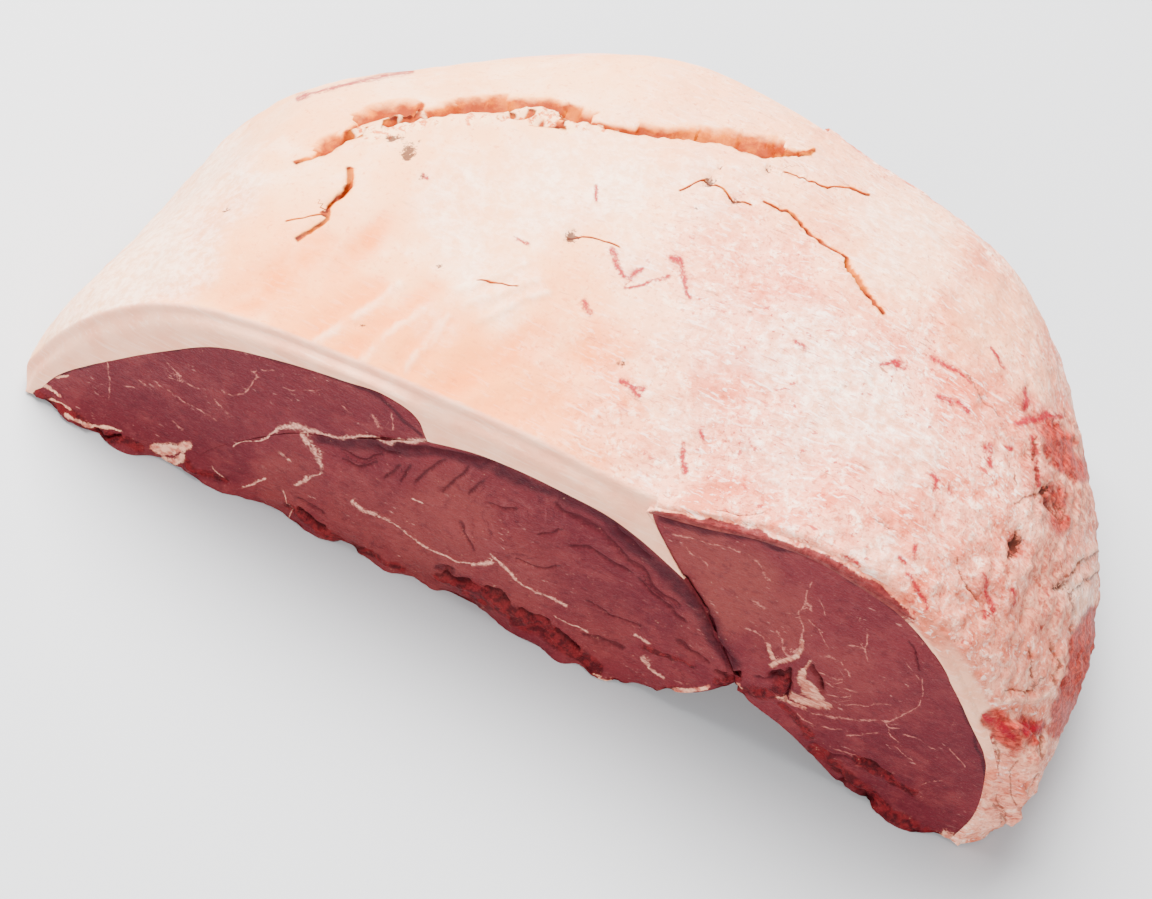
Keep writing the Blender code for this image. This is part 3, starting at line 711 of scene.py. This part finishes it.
def forward(flat):
    """How far the cut stands out at a point: the muscles swell a little and the trimmed foot is ragged."""
    foot = np.maximum(0.0, 1 - flat[..., 1] / FOOT_HEIGHT) ** 1.5
    return sum(swell(flat, *place) for place in SWELLS) + foot * read_along(FOOT_EDGE, flat[..., 0])


def fat_waves(flat, depth):
    """How far the outer face of the fat stands out over a point of the rim at some depth."""
    x, z = flat[..., 0], flat[..., 1]
    waves = sum(h * np.sin(x / a + z / b + turn * depth) for h, a, b, turn in FAT_WAVES)
    waves = waves * np.minimum(1.0, depth / WAVES_GROW) * np.minimum(1.0, (1 - depth) / WAVES_END)
    across = depth - read_along(CREST_CRACK, x)
    ends = np.clip((x - CRACK_ENDS[0]) / CRACK_FADE, 0, 1) * np.clip((CRACK_ENDS[1] - x) / CRACK_FADE, 0, 1)
    fold = FOLD_HEIGHT * bump(across, -1.5 * FOLD_WIDTH, FOLD_WIDTH) * ends
    return waves + fold + swell(flat, *FRONT_LUMP) * bump(depth, LUMP_DEPTH, LUMP_DEPTH)


# How finely the pieces are divided: points along each stretch of an edge, and depths from cut to cut
FAT_POINTS = (121, 85, 24, 170)
CAP_POINTS = (56, 116)
EYE_POINTS = (112, 96, 56)
TAIL_POINTS = (34, 56, 102)
FAT_SHARES = (0, 0.15, 0.32, 0.5, 0.66, 0.8, 0.9, 0.97, 1.0)
FAT_STATIONS = 169
FAT_STEP = 6
LEAN_STATIONS = 45
CROWDING = 0.1
KEPT_AT_ENDS = 20
RIM_STATIONS = (0.0, 0.35, 0.8, 1.4)
RIM_PART = 0.012


def depth_stations(count):
    """Depths from the front cut to the far side, closer together near both cuts."""
    even = np.linspace(0, 1, count)
    return even - CROWDING * np.sin(2 * math.pi * even)


def fat_stations():
    """Depths for the fat, with some more on its rounded rims, and a whole number of steps in all."""
    rounding = np.array(RIM_STATIONS) / USUAL_DEPTH
    depths = depth_stations(FAT_STATIONS)
    depths = np.r_[rounding, depths[depths > RIM_PART][:-1]]
    depths = np.r_[depths[depths < 1 - RIM_PART], 1 - rounding[::-1]]
    spare = (len(depths) - 1) % FAT_STEP
    return np.delete(depths, np.linspace(KEPT_AT_ENDS, len(depths) - KEPT_AT_ENDS, spare).astype(int))


def edges(names, counts):
    """Several edges as one, each with its own number of points."""
    return joined(*[spaced(smooth_curve(edge), count) for edge, count in zip(names, counts)])


def rim_in_step(counts):
    """The rim of the fat, with as many points over each stretch as the edge under it has."""
    curve = smooth_curve(FAT_RIM)
    crossings = [0]
    for x in (RIM_AT_CAP_EYE, RIM_AT_WEDGE_TIP, RIM_AT_TAIL):
        crossings.append(int(np.argmin(abs(curve[:, 0] - x) + (curve[:, 1] < 90) * CUT_LENGTH)))
    crossings.append(len(curve) - 1)
    stretches = zip(crossings[:-1], crossings[1:], counts)
    return joined(*[spaced(curve[a : b + 1], count) for a, b, count in stretches])


def rim_inset(depth_mm):
    """How far the rounded rim has drawn in, near a cut."""
    out = np.clip(1 - depth_mm / RIM_ROUNDING, 0, 1)
    return RIM_ROUNDING * (1 - np.sqrt(1 - out**2))


# The pieces. Edges that are sharper than SHARP_EDGE aren't smoothed over
SHARP_EDGE = math.radians(55)


def fat_piece(finish):
    """The cap of fat, with its cracks, folds, pits and skin."""
    inner = edges((CAP_TOP, EYE_TOP, WEDGE_SIDE, TAIL_TOP), FAT_POINTS)
    lower = np.vstack([FAT_RIM[:1], inner, FAT_RIM[-1:]])
    upper = rim_in_step((FAT_POINTS[0] + 1, FAT_POINTS[1], FAT_POINTS[2], FAT_POINTS[3] + 1))
    lens = Lens(lower, upper, np.array(FAT_SHARES), fat_stations(), FAT_STEP)
    rim = np.repeat(upper[:, None], lens.slots, axis=1)
    along = rim[..., 0]
    thick = smooth(THIN_FAT, THICK_FAT, np.linalg.norm(upper - lower, axis=1))[:, None]
    inset = rim_inset(lens.from_cut) * (THIN_RIM_SHARE + (1 - THIN_RIM_SHARE) * thick)
    flat = lens.flats(fat_waves(rim, lens.depth) - inset)
    points = into_joint(flat, lens.depth)
    inward = np.where(lens.depth < 0.5, 1, -1)
    fall = RIM_FALL * thick * smooth(0.55, 1.0, lens.share) ** 1.5
    points[..., 1] += inward * np.where(lens.on_cut, fall - forward(flat), 0)
    fall_behind = RIM_FALL * thick * np.clip(1 - lens.from_cut / RIM_FALL_REACH, 0, 1)
    points[..., 1] += inward * np.where(lens.top & ~lens.on_cut, fall_behind, 0)

    normals = lens.normals(points)
    facing = towards_camera(points, normals)
    shown = smooth(-0.04, 0.05, facing)
    pixels = wavy(in_photo(points), points, WAVER * smooth(0.05, 0.5, facing))
    outer = np.broadcast_to(lens.top * 1.0, shown.shape)
    crack, brown, blood, folds, ridges = (
        drawn(pixels, lines, shown * outer)
        for lines in (ORANGE_CRACKS, BROWN_GROOVES, BLOOD_LINES, PEACH_SHADED_FOLDS, HIGHLIT_RIDGES)
    )
    dark, flap, lumps, peach_area, pale, calm = (
        spots(pixels, places) * shown * outer
        for places in (DARK_SPOTS, FLAP, CREAMY_LUMPS, PEACH_AREAS, PALE_AREAS, SMOOTH_AREAS)
    )
    around = smooth(-0.35, 0.15, facing) * np.maximum(outer, smooth(225, 300, along))
    wash, flank = (spots(pixels, places) * around for places in (BLOOD_WASH, FLANK))
    coarse, fine, tiny = (rough_noise(points, size, seed) for size, seed in FAT_BUMPS)
    peach, highlit_ridge = groove(*folds, 1.5, 0.1), groove(*ridges, 1.6, 0.1)
    membrane = smooth(120, 230, points[..., 0] + 14 * coarse + 0.1 * (points[..., 1] - 80))
    membrane = membrane * (1 - 0.55 * calm)
    steep = smooth(0.35, 0.8, 1 - normals[..., 2]) * smooth(250, 330, points[..., 0])
    flank = np.maximum(flank, 0.7 * steep * (1 - shown) * outer)

    relief = (0.14 + 0.34 * membrane) * fine + (0.5 + 0.25 * membrane) * coarse
    relief += (0.04 + 0.16 * membrane) * tiny + flank * (0.9 * fine + 0.3 * tiny + 0.5 * coarse)
    relief += 0.5 * lumps * (0.6 + 2.0 * fine + 0.6 * tiny)
    side, reach, width = crack
    wall = np.where(width > WIDE_CRACK, np.where(side > 0, STEEP_WALL, GENTLE_WALL), NARROW_WALL)
    trench = groove(side, reach, width * wall, 1.0, 0.1) * (1 - 0.5 * lumps)
    relief -= np.minimum(CRACK_DEPTH, CRACK_DEPTH_PER_WIDTH * width) * trench
    relief -= 0.9 * groove(*brown) + 1.8 * dark
    relief += 0.8 * highlit_ridge - 0.8 * peach + FLAP_HEIGHT * smooth(0.1, 0.5, flap)
    thin_edge = between(*THIN_SKIN, along) * smooth(0.0, 0.35, lens.share)
    fade = np.minimum(1, lens.from_cut / np.where(thin_edge > 0.5, THIN_FADE_REACH, FADE_REACH)) * outer
    fade = np.maximum(fade, 0.8 * thin_edge * lens.on_cut)
    fade[[0, -1]] = 0
    points = points + normals * (relief * fade)[..., None]
    points[..., 2] = np.maximum(points[..., 2], 0)

    cut = np.where(lens.top, 1 - smooth(0.0, BAND_REACH, lens.from_cut), 1.0)
    cut = cut * (1 - 0.9 * thin_edge) * (1 - 0.75 * smooth(*BAND_END, along))
    sliver = 1 - smooth(0.72, 1.0, lens.share + 0.15 * fine + 0.4 * lens.back)
    fields = {
        "cut": cut, "peach": peach * outer, "highlit_ridge": highlit_ridge * outer, "wash": wash, "dark": dark,
        "membrane": membrane, "lumps": lumps, "shown": shown, "flank": flank, "peach_area": peach_area,
        "pale": pale, "sliver": sliver * between(*RED_SLIVER, along) * lens.on_cut,
    }
    fields |= line_fields(crack=(side / wall, reach), brown=brown, blood=blood)
    return piece(lens.mesh("fat_layer", points, fields), finish, "fat_cap")


def lean_piece(name, lower, upper, finish, node, rows, seed):
    """One muscle, with its veins, creases and ragged foot."""
    lens = Lens(lower, upper, np.linspace(0, 1, rows), depth_stations(LEAN_STATIONS))
    flat = lens.flats()
    points = into_joint(flat, lens.depth)
    stand = forward(flat)
    points[..., 1] += np.where(lens.front, -1, np.where(lens.back, 1, 0)) * stand
    on_cut = np.broadcast_to(lens.on_cut, stand.shape)

    # the far cut shows what the front cut shows, so both read the pixels of the front one
    face = into_joint(flat, np.zeros(lens.slots))
    face[..., 1] -= stand
    pixels = wavy(in_photo(face), face)
    tan, plum = (spots(pixels, places) * on_cut for places in (TAN_AREAS, PLUM_AREAS))
    white, vein, crease = (drawn(pixels, lines, on_cut) for lines in (WHITE_SEAMS, MARBLING, SHADED_CREASES))
    shade, trim, pale, tendon, shadowed_hole = (
        groove(*drawn(pixels, lines, on_cut), 1.4, 0.2)
        for lines in (SHADED_EDGE, RED_TRIM, WHITE_TRIM, TENDON, SHADOWED_HOLES)
    )
    whorl = pixels - np.array(WHORL)
    ring, turn = np.linalg.norm(whorl, axis=-1), np.arctan2(whorl[..., 1], whorl[..., 0])
    coarse, fine, lift = (rough_noise(points, size, seed + more) for size, more in LEAN_BUMPS)
    deep, shallow = (bump(beside(flat, seams)[1], 0, SEAM_WIDTH) for seams in (DEEP_SEAMS, SHALLOW_SEAMS))
    foot = np.maximum(0.0, 1 - flat[..., 1] / FOOT_HEIGHT)

    relief = 0.5 * coarse + 0.10 * fine - 1.0 * deep - 0.15 * shallow
    relief += 0.25 * groove(*white) + 0.12 * groove(*vein) - 0.7 * groove(*crease, 2.4)
    relief += trim * (0.1 + 0.9 * fine) + 0.4 * foot * fine - 0.6 * tendon - 2.2 * shadowed_hole
    points = points + lens.normals(points) * (relief * on_cut)[..., None]
    under = lens.bottom & ~lens.on_cut & (flat[..., 1] < 1)
    points[..., 2] += np.where(under, 0.5 + 0.5 * lift, 0)
    corner = smooth(78, 96, flat[..., 1]) * smooth(0.9, 1.0, lens.depth)
    points[..., 1:] -= corner[..., None] * FAR_CORNER
    points[..., 2] = np.maximum(points[..., 2], 0)
    fields = {
        "shade": shade, "trim": trim, "pale": pale, "tendon": tendon, "shadowed_hole": shadowed_hole, "tan": tan, "plum": plum,
        "inside": np.where(on_cut, 1.0, 1 - smooth(3, 9, lens.from_cut)), "ring": ring, "turn": turn,
        "whorl": (1 - smooth(0.2, 1.0, ring / WHORL_REACH)) * on_cut,
    }
    fields |= line_fields(white=white, vein=vein, crease=crease)
    return piece(lens.mesh(name, points, fields), finish, node)


def piece(mesh, finish, node):
    """An object of the joint, which rides on its one body and stands for one of its nodes."""
    mesh.materials.append(finish)
    mesh.shade_smooth()
    mesh.set_sharp_from_angle(angle=SHARP_EDGE)
    item = bpy.data.objects.new(mesh.name, mesh)
    bpy.context.scene.collection.objects.link(item)
    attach(item, "root")
    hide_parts(node)
    return item


# Finishes. Red, green and blue light goes this far into the fat, in metres
LIGHT_DEPTH = (0.005, 0.002, 0.0015)


def pigment(red, green, blue):
    """A shader's colour from red, green and blue as seen, 0 to 255."""
    return tuple((c / 255) ** 2.2 for c in (red, green, blue)) + (1.0,)


class Field:
    """A number or a colour that varies over a surface. Expressions on numbers add their Math nodes."""

    def __init__(self, finish, socket):
        self.finish, self.socket = finish, socket

    def math(self, operation, *values):
        return self.finish.field("ShaderNodeMath", {"operation": operation}, dict(enumerate(values)))

    def __add__(self, other):
        return self.math("ADD", self, other)

    def __sub__(self, other):
        return self.math("SUBTRACT", self, other)

    def __rsub__(self, other):
        return self.math("SUBTRACT", other, self)

    def __mul__(self, other):
        return self.math("MULTIPLY", self, other)

    def __abs__(self):
        return self.math("ABSOLUTE", self)

    def most(self, other):
        return self.math("MAXIMUM", self, other)

    __radd__, __rmul__ = __add__, __mul__

    def rise(self, low, high):
        """0 below low, 1 above high and a smooth rise between."""
        inputs = {"Value": self, "From Min": low, "From Max": high}
        return self.finish.field("ShaderNodeMapRange", {"interpolation_type": "SMOOTHSTEP"}, inputs)

    def fall(self, low, high):
        """1 below low, 0 above high and a smooth fall between."""
        return 1 - self.rise(low, high)


class Finish:
    """A material whose colour, gloss and relief are worked out from fields."""

    def __init__(self, name):
        self.material = bpy.data.materials.new(name)
        self.material.use_nodes = True
        self.tree = self.material.node_tree
        self.tree.nodes.clear()
        self.place = self.field("ShaderNodeTexCoord", output="Object")
        self.wander, self.ragged = self.noise(4, 2) - 0.5, self.noise(0.9, 3, 0.6) - 0.5
        self.pinch = self.noise(3, 2).rise(0.45, 0.75)

    def node(self, kind, settings=None, inputs=None):
        node = self.tree.nodes.new(kind)
        for name, value in (settings or {}).items():
            setattr(node, name, value)
        for name, value in (inputs or {}).items():
            if isinstance(value, Field):
                self.tree.links.new(value.socket, node.inputs[name])
            else:
                node.inputs[name].default_value = value
        return node

    def field(self, kind, settings=None, inputs=None, output=0):
        return Field(self, self.node(kind, settings, inputs).outputs[output])

    def mark(self, name):
        """A field that the mesh carries."""
        return self.field("ShaderNodeAttribute", {"attribute_name": name}, output="Fac")

    def stretched(self, turn, stretch):
        """Places with the fibres' direction turned to x and drawn out along it."""
        inputs = {"Vector": self.place, "Rotation": turn, "Scale": (1 / stretch, 1.0, 1.0)}
        return self.field("ShaderNodeMapping", None, inputs)

    def noise(self, size, detail=3.0, rough=0.5, bend=0.0, at=None):
        """Uneven values round 0.5, in features about size millimetres across."""
        inputs = {"Vector": at or self.place, "Scale": 1 / (size * MM), "Detail": detail, "Roughness": rough}
        return self.field("ShaderNodeTexNoise", None, inputs | {"Distortion": bend})

    def mix(self, share, *colours):
        """The first colour where share is 0, the second where it is 1.

        Each is a field, a shader's colour of four values, or a colour of three as seen.
        """
        first, second = (c if isinstance(c, Field) or len(c) == 4 else pigment(*c) for c in colours)
        settings = {"data_type": "RGBA", "clamp_factor": True}
        return self.field("ShaderNodeMix", settings, {0: share, 6: first, 7: second}, output=2)

    def layers(self, colour, *coats):
        """A colour with coats over it, the lowest first: a share and a colour each."""
        for share, coat in coats:
            colour = self.mix(share, colour, coat)
        return colour

    def drawn_line(self, name, width=1.0, waver=1.0, cut_off=3.0):
        """1 on the drawn lines of that name, with uneven edges, and 0 beside them."""
        side = abs(self.mark(name + "_side") + self.wander * (1.8 * waver) + self.ragged * (3.8 * waver))
        side = side + self.pinch * (0.9 * waver)
        return side.fall(0.1 * width, 1.5 * width) * self.mark(name + "_reach").fall(cut_off, cut_off + 3)

    def surface(self, colour, roughness, height, **constants):
        """The shader, with relief of a height in millimetres."""
        normal = self.field("ShaderNodeBump", None, {"Height": height, "Distance": MM, "Strength": 1.0})
        inputs = {"Base Color": colour, "Roughness": roughness, "Normal": normal}
        names = {"specular": "Specular IOR Level", "depth": "Subsurface Weight"}
        inputs |= {names[key]: value for key, value in constants.items()}
        shader = self.node("ShaderNodeBsdfPrincipled", None, inputs)
        self.node("ShaderNodeOutputMaterial", None, {"Surface": Field(self, shader.outputs[0])})
        shader.inputs["Subsurface Radius"].default_value = LIGHT_DEPTH
        return self.material


# Directions of fibres, as turns about x, y and z
ALONG_CUT = (0, 0.42, 0)
UPRIGHT = (0, math.pi / 2, 0)
DOWNHILL = (0, 0, 1.1)
UPHILL = (0, 0, -0.5)


def lean_finish(name):
    """Raw lean: plum red and grained, with white seams and marbling, painted shade in its creases, holes and
    under the fat, and a bright red foot.
    """
    f = Finish(name)
    broad, patch, small = f.noise(38, 3), f.noise(10, 4, 0.6), f.noise(3.2, 4, 0.6)
    slanted = f.stretched(ALONG_CUT, 2.6)
    fibres, grain = f.noise(1.7, 4, 0.7, 0.4, slanted), f.noise(0.8, 3, 0.65)
    flecks = f.noise(1.3, 2, at=slanted).rise(0.66, 0.74) * f.noise(16, 2).rise(0.46, 0.62)
    rings = f.field("ShaderNodeCombineXYZ", None, {"X": f.mark("ring") * 0.16, "Y": f.mark("turn") * 1.1})
    arcs, whorl, shade = f.noise(1000, 3, 0.6, 0.4, rings), f.mark("whorl"), f.mark("shade")
    under = 1 - f.mark("inside")
    shade = (shade * (0.3 + 1.2 * small) + f.wander * 0.5 * shade).rise(0.1, 1.15)
    vein = f.drawn_line("vein", 0.8, 1.1) * small.rise(0.34, 0.56)
    white = f.drawn_line("white", 0.95, 0.8) * small.rise(0.26, 0.5)
    red = (f.mark("trim") * (0.3 + 1.5 * f.noise(5, 4, 0.65))).rise(0.3, 0.8)
    raw = f.mix(small.rise(0.4, 0.6), (58, 14, 20), (104, 28, 32))
    raw = f.mix(grain.rise(0.56, 0.78) * 0.5, raw, (140, 62, 56))
    tendon = (f.mark("tendon") * (0.55 + 1.0 * fibres) + f.wander * 0.6 + f.ragged * 1.2).rise(0.25, 0.95)
    pale = (f.mark("pale") + f.wander * 1.0 + f.ragged * 1.6).rise(0.3, 0.9)
    skin = f.noise(22, 5, 0.65, 0.6).rise(0.5, 0.6) * under
    colour = f.layers(
        f.mix(broad.rise(0.35, 0.65), (92, 34, 42), (102, 40, 46)),
        ((f.mark("tan") * (0.4 + patch)).rise(0.1, 0.9) * 0.8, (118, 56, 53)),
        ((f.mark("plum") * (0.4 + patch)).rise(0.1, 0.9) * 0.7, (80, 28, 37)),
        (patch.rise(0.45, 0.7) * 0.6, (114, 50, 52)),
        (small.fall(0.3, 0.5) * 0.45, (74, 28, 36)),
        (fibres.rise(0.5, 0.75) * 0.3, (124, 66, 68)),
        (fibres.fall(0.3, 0.46) * 0.3, (70, 26, 34)),
        (grain.rise(0.56, 0.76) * 0.35, (136, 80, 80)),
        (grain.fall(0.28, 0.44) * 0.3, (66, 24, 32)),
        (flecks * 0.6, (176, 116, 108)),
        (arcs.fall(0.34, 0.46) * whorl * patch.rise(0.4, 0.6) * 0.65, (66, 22, 32)),
        (arcs.rise(0.56, 0.7) * whorl * 0.3, (134, 72, 74)),
        (shade * 0.95, (56, 18, 28)),
        # painted shade in the creases
        (f.drawn_line("crease", 1.7, 0.8) * 0.7, (56, 14, 24)),
        (vein * 0.7, (190, 118, 106)),
        (white * 0.8, f.mix(grain.rise(0.35, 0.65), (190, 118, 104), (236, 178, 156))),
        (red * 0.75, raw),
        # painted shadow in the holes
        (f.mark("shadowed_hole").rise(0.3, 0.9) * 0.8, (48, 8, 16)),
        (tendon * 0.85, f.mix(fibres.rise(0.4, 0.65), (172, 98, 82), (226, 166, 140))),
        (pale * 0.9, f.mix(small.rise(0.35, 0.6), (184, 96, 82), (238, 176, 146))),
        (under * 0.5, (104, 32, 36)),
        (skin * 0.75, (206, 144, 126)),
    )
    height = 0.3 * fibres + 0.14 * grain + 0.5 * patch + 0.3 * small + 0.7 * f.mark("trim") * small
    return f.surface(colour, 0.5 - 0.1 * patch, height, specular=0.06)


def fat_finish(name):
    """Raw fat: cream, peach in its folds with painted shade there, painted highlights on its ridges and
    painted shade in its cracks, with a fibrous pink and white skin over the right half.
    """
    f = Finish(name)
    broad, patch, small = f.noise(42, 3), f.noise(13, 4, 0.6, 0.4), f.noise(3.4, 5, 0.7, 0.25)
    fine, membrane, flank, cut = f.noise(1.5, 4, 0.6), f.mark("membrane"), f.mark("flank"), f.mark("cut")
    hidden = f.mark("shown").fall(0.0, 0.25) * (1 - cut)
    cloud = broad * 0.5 + patch * 0.5
    strings = f.noise(1.4, 3, 0.6, 0.6, f.stretched(DOWNHILL, 5.0))
    upright = f.noise(1.8, 4, 0.6, 0.5, f.stretched(UPRIGHT, 5.0))
    peach = (f.mark("peach_area") * (0.3 + 1.1 * patch)).most(hidden * broad.rise(0.5, 0.7) * 0.7)
    rosy = f.layers(
        f.mix(cloud.rise(0.4, 0.6), (238, 162, 136), (208, 106, 80)),
        (small.rise(0.5, 0.66) * cloud.fall(0.42, 0.62) * 0.95, (254, 222, 202)),
        (small.fall(0.36, 0.47) * cloud.rise(0.4, 0.58) * 0.9, (186, 86, 62)),
        (fine.fall(0.36, 0.47) * 0.75, (186, 96, 72)),
    )
    greyish = (f.mark("pale") * (0.3 + 1.2 * patch)).rise(0.2, 0.9)
    threads = strings.rise(0.54, 0.66) * patch.rise(0.35, 0.6)
    veins = f.noise(1.3, 3, 0.6, 0.8, f.stretched(UPHILL, 5.0)).rise(0.58, 0.7)
    veins = veins * f.noise(17, 3).rise(0.42, 0.6)
    specks = f.noise(1.9, 2).rise(0.64, 0.7) * f.noise(15, 3).rise(0.45, 0.6)
    dashes = strings.fall(0.28, 0.4) * f.noise(12, 2).rise(0.42, 0.6)
    streaks = f.noise(1.4, 4, 0.6, 0.3, f.stretched(ALONG_CUT, 9.0))
    band = f.mix(f.noise(12, 3).rise(0.35, 0.65), (232, 160, 130), (240, 178, 148))
    band = f.mix(streaks.rise(0.5, 0.7) * 0.5, band, (246, 204, 180))
    edge = cut + flank * (patch * 3.0 - 1.8 + f.ragged * 1.5)
    flesh = f.layers(
        f.mix(upright.rise(0.38, 0.62), (184, 94, 76), (228, 152, 124)),
        (small.rise(0.5, 0.66) * 0.6, (240, 180, 152)),
        (small.fall(0.34, 0.46) * 0.8, (146, 54, 46)),
    )
    wash = (f.mark("wash") * (0.1 + 1.3 * f.noise(3.6, 5, 0.7, 1.0) + 0.5 * patch)).rise(0.18, 0.85)
    wash = wash.most(hidden * f.noise(20, 5, 0.7, 0.6).rise(0.58, 0.74) * 0.5)
    crack_side = f.mark("crack_side")
    opening = abs(crack_side + f.wander * 0.5).fall(0.45, 1.25) * f.mark("crack_reach").fall(12, 15)
    across = crack_side + (small - 0.5) * 1.2 + f.wander * 0.5
    # The walls of the cracks: orange tissue, with painted shade that darkens across each wall to a painted
    # shadow at the bottom, and lighter patches as painted highlights
    wall = f.layers(
        f.mix(across.rise(-1.1, -0.4), (204, 100, 8), (130, 48, 2)),
        (across.rise(-0.35, 0.2) * patch.rise(0.25, 0.45), (78, 24, 2)),
        (patch.rise(0.5, 0.66) * 0.4, (212, 114, 14)),
    )
    lumps = (f.mark("lumps") + f.wander * 0.6).rise(0.35, 0.7)
    dark = (f.mark("dark") + f.wander * 1.8 + f.ragged * 2.4).rise(0.25, 0.75)
    dark = dark * f.mark("dark").rise(0.02, 0.2)
    sliver = (f.mark("sliver") + f.ragged * 0.6).rise(0.35, 0.65)
    colour = f.layers(
        f.mix(broad.rise(0.35, 0.65), (248, 186, 140), (244, 172, 122)),
        (patch.rise(0.42, 0.7) * 0.6, (250, 208, 174)),
        (peach.rise(0.1, 0.75) * 0.9, (240, 142, 76)),
        # the peach of the folds, deepened as painted shade
        ((f.mark("peach") + f.wander * 0.5) * (2.2 * patch - 0.4), (236, 130, 62)),
        (fine.fall(0.34, 0.46) * small.rise(0.4, 0.6) * 0.6, (222, 126, 78)),
        (membrane, rosy),
        (greyish * 0.6, f.mix(small.rise(0.38, 0.62), (226, 176, 144), (254, 230, 212))),
        # painted highlight on the ridges
        (f.mark("highlit_ridge") * patch.rise(0.35, 0.6) * 0.5, (252, 220, 190)),
        (threads * (0.08 + 0.5 * membrane), (254, 240, 230)),
        (veins * (0.06 + 0.8 * membrane), (160, 44, 46)),
        (specks * (0.12 + 0.7 * membrane), (158, 52, 52)),
        (dashes * (0.2 + 0.6 * membrane), (130, 78, 62)),
        (edge.rise(0.15, 0.9), band),
        ((flank * (0.35 + 1.3 * patch)).rise(0.12, 0.85) * 0.9, flesh),
        (wash * 0.9, f.mix(strings.rise(0.4, 0.62), (118, 18, 20), (182, 60, 50))),
        (f.drawn_line("blood", 1.9, 1.3) * small.rise(0.28, 0.46) * 0.95, (138, 12, 36)),
        (f.drawn_line("brown") * 0.75, (96, 50, 40)),
        (f.drawn_line("crack", 1.3, 0.3, 12.0) * 0.55, (244, 148, 30)),
        # the crack walls, with their painted shade and highlights
        (opening * (0.6 + 1.0 * patch), wall),
        (lumps * 0.85, f.mix(small.rise(0.42, 0.52), (196, 92, 44), (250, 198, 150))),
        (dark * 0.9, (66, 38, 32)),
        (sliver * 0.95, f.mix(small.rise(0.4, 0.6), (84, 26, 34), (112, 42, 46))),
    )
    height = 0.14 * fine + 0.5 * patch + (0.15 + 0.65 * membrane + 0.4 * flank) * small
    height = height + 0.3 * membrane * strings + 0.8 * flank * upright
    return f.surface(colour, 0.55 - 0.12 * membrane * patch, height, specular=0.08, depth=0.1)


def floor_finish():
    """A plain pale floor, a little bluish under the warm light."""
    f = Finish("pale_floor")
    colour = f.mix(f.noise(400, 2), (0.46, 0.49, 0.53, 1), (0.47, 0.50, 0.54, 1))
    return f.surface(colour, 0.8, f.noise(5, 2) * 0.01, specular=0.2)


# The joint, piece by piece

def build_joint():
    """The cap of fat, and the three muscles under it."""
    lean = lean_finish("raw_lean")
    fat_piece(fat_finish("raw_fat"))
    cap_lower = edges((CAP_BASE, CAP_EYE_SEAM), CAP_POINTS)
    cap_upper = edges((CAP_TOP,), (len(cap_lower),))
    lean_piece("cap_lean", cap_lower, cap_upper, lean, "cap_muscle", rows=56, seed=51)
    eye_upper = edges((CAP_EYE_SEAM, EYE_TOP, EYE_TAIL_SEAM), EYE_POINTS)
    eye_lower = edges((EYE_BASE,), (len(eye_upper),))
    lean_piece("eye_lean", eye_lower, eye_upper, lean, "eye_muscle", rows=88, seed=61)
    tail_lower = edges((WEDGE_SIDE[::-1], EYE_TAIL_SEAM, TAIL_BASE), TAIL_POINTS)
    tail_upper = edges((TAIL_TOP,), (len(tail_lower),))
    lean_piece("tail_lean", tail_lower, tail_upper, lean, "tail_muscle", rows=100, seed=71)


# The floor, the lights and the camera
WARM_WHITE = (1.0, 0.94, 0.88)
MIDDLE = (0, 0, 0.05)
FLOOR_REACH = 3.0


def add_floor():
    mesh = bpy.data.meshes.new("floor")
    corners = [(x * FLOOR_REACH, y * FLOOR_REACH, 0) for x, y in ((-1, -1), (1, -1), (1, 1), (-1, 1))]
    mesh.from_pydata(corners, [], [(0, 1, 2, 3)])
    mesh.materials.append(floor_finish())
    floor = bpy.data.objects.new("floor", mesh)
    bpy.context.scene.collection.objects.link(floor)


def add_light(name, place, size, power):
    """A soft square light of a warm white, facing the joint."""
    light = bpy.data.lights.new(name, "AREA")
    light.size, light.energy, light.color = size, power, WARM_WHITE
    item = bpy.data.objects.new(name, light)
    item.location = place
    item.rotation_euler = (Vector(MIDDLE) - Vector(place)).to_track_quat("-Z", "Y").to_euler()
    bpy.context.scene.collection.objects.link(item)


def add_daylight(strength):
    world = bpy.data.worlds.new("daylight")
    world.use_nodes = True
    world.node_tree.nodes["Background"].inputs["Color"].default_value = (1.0, 1.0, 1.0, 1.0)
    world.node_tree.nodes["Background"].inputs["Strength"].default_value = strength
    bpy.context.scene.world = world


def add_camera():
    """The photograph's camera, rolled as it was."""
    right, up, ahead = camera_axes()
    camera = bpy.data.cameras.new("camera")
    camera.lens, camera.sensor_width = CAMERA_LENS, CAMERA_SENSOR
    item = bpy.data.objects.new("camera", camera)
    place = (CAMERA_AIM - ahead * CAMERA_DISTANCE + FRONT_LEFT_TIP) * MM
    turn = Matrix([right, up, -ahead]).transposed().to_4x4()
    item.matrix_world = Matrix.Translation(place) @ turn
    bpy.context.scene.collection.objects.link(item)
    bpy.context.scene.camera = item


build_joint()
add_floor()
add_daylight(0.7)
add_light("sky_panel", place=(-0.55, 0.4, 1.25), size=1.1, power=142)
add_light("front_panel", place=(0.1, -1.5, 0.8), size=1.2, power=33)
add_camera()
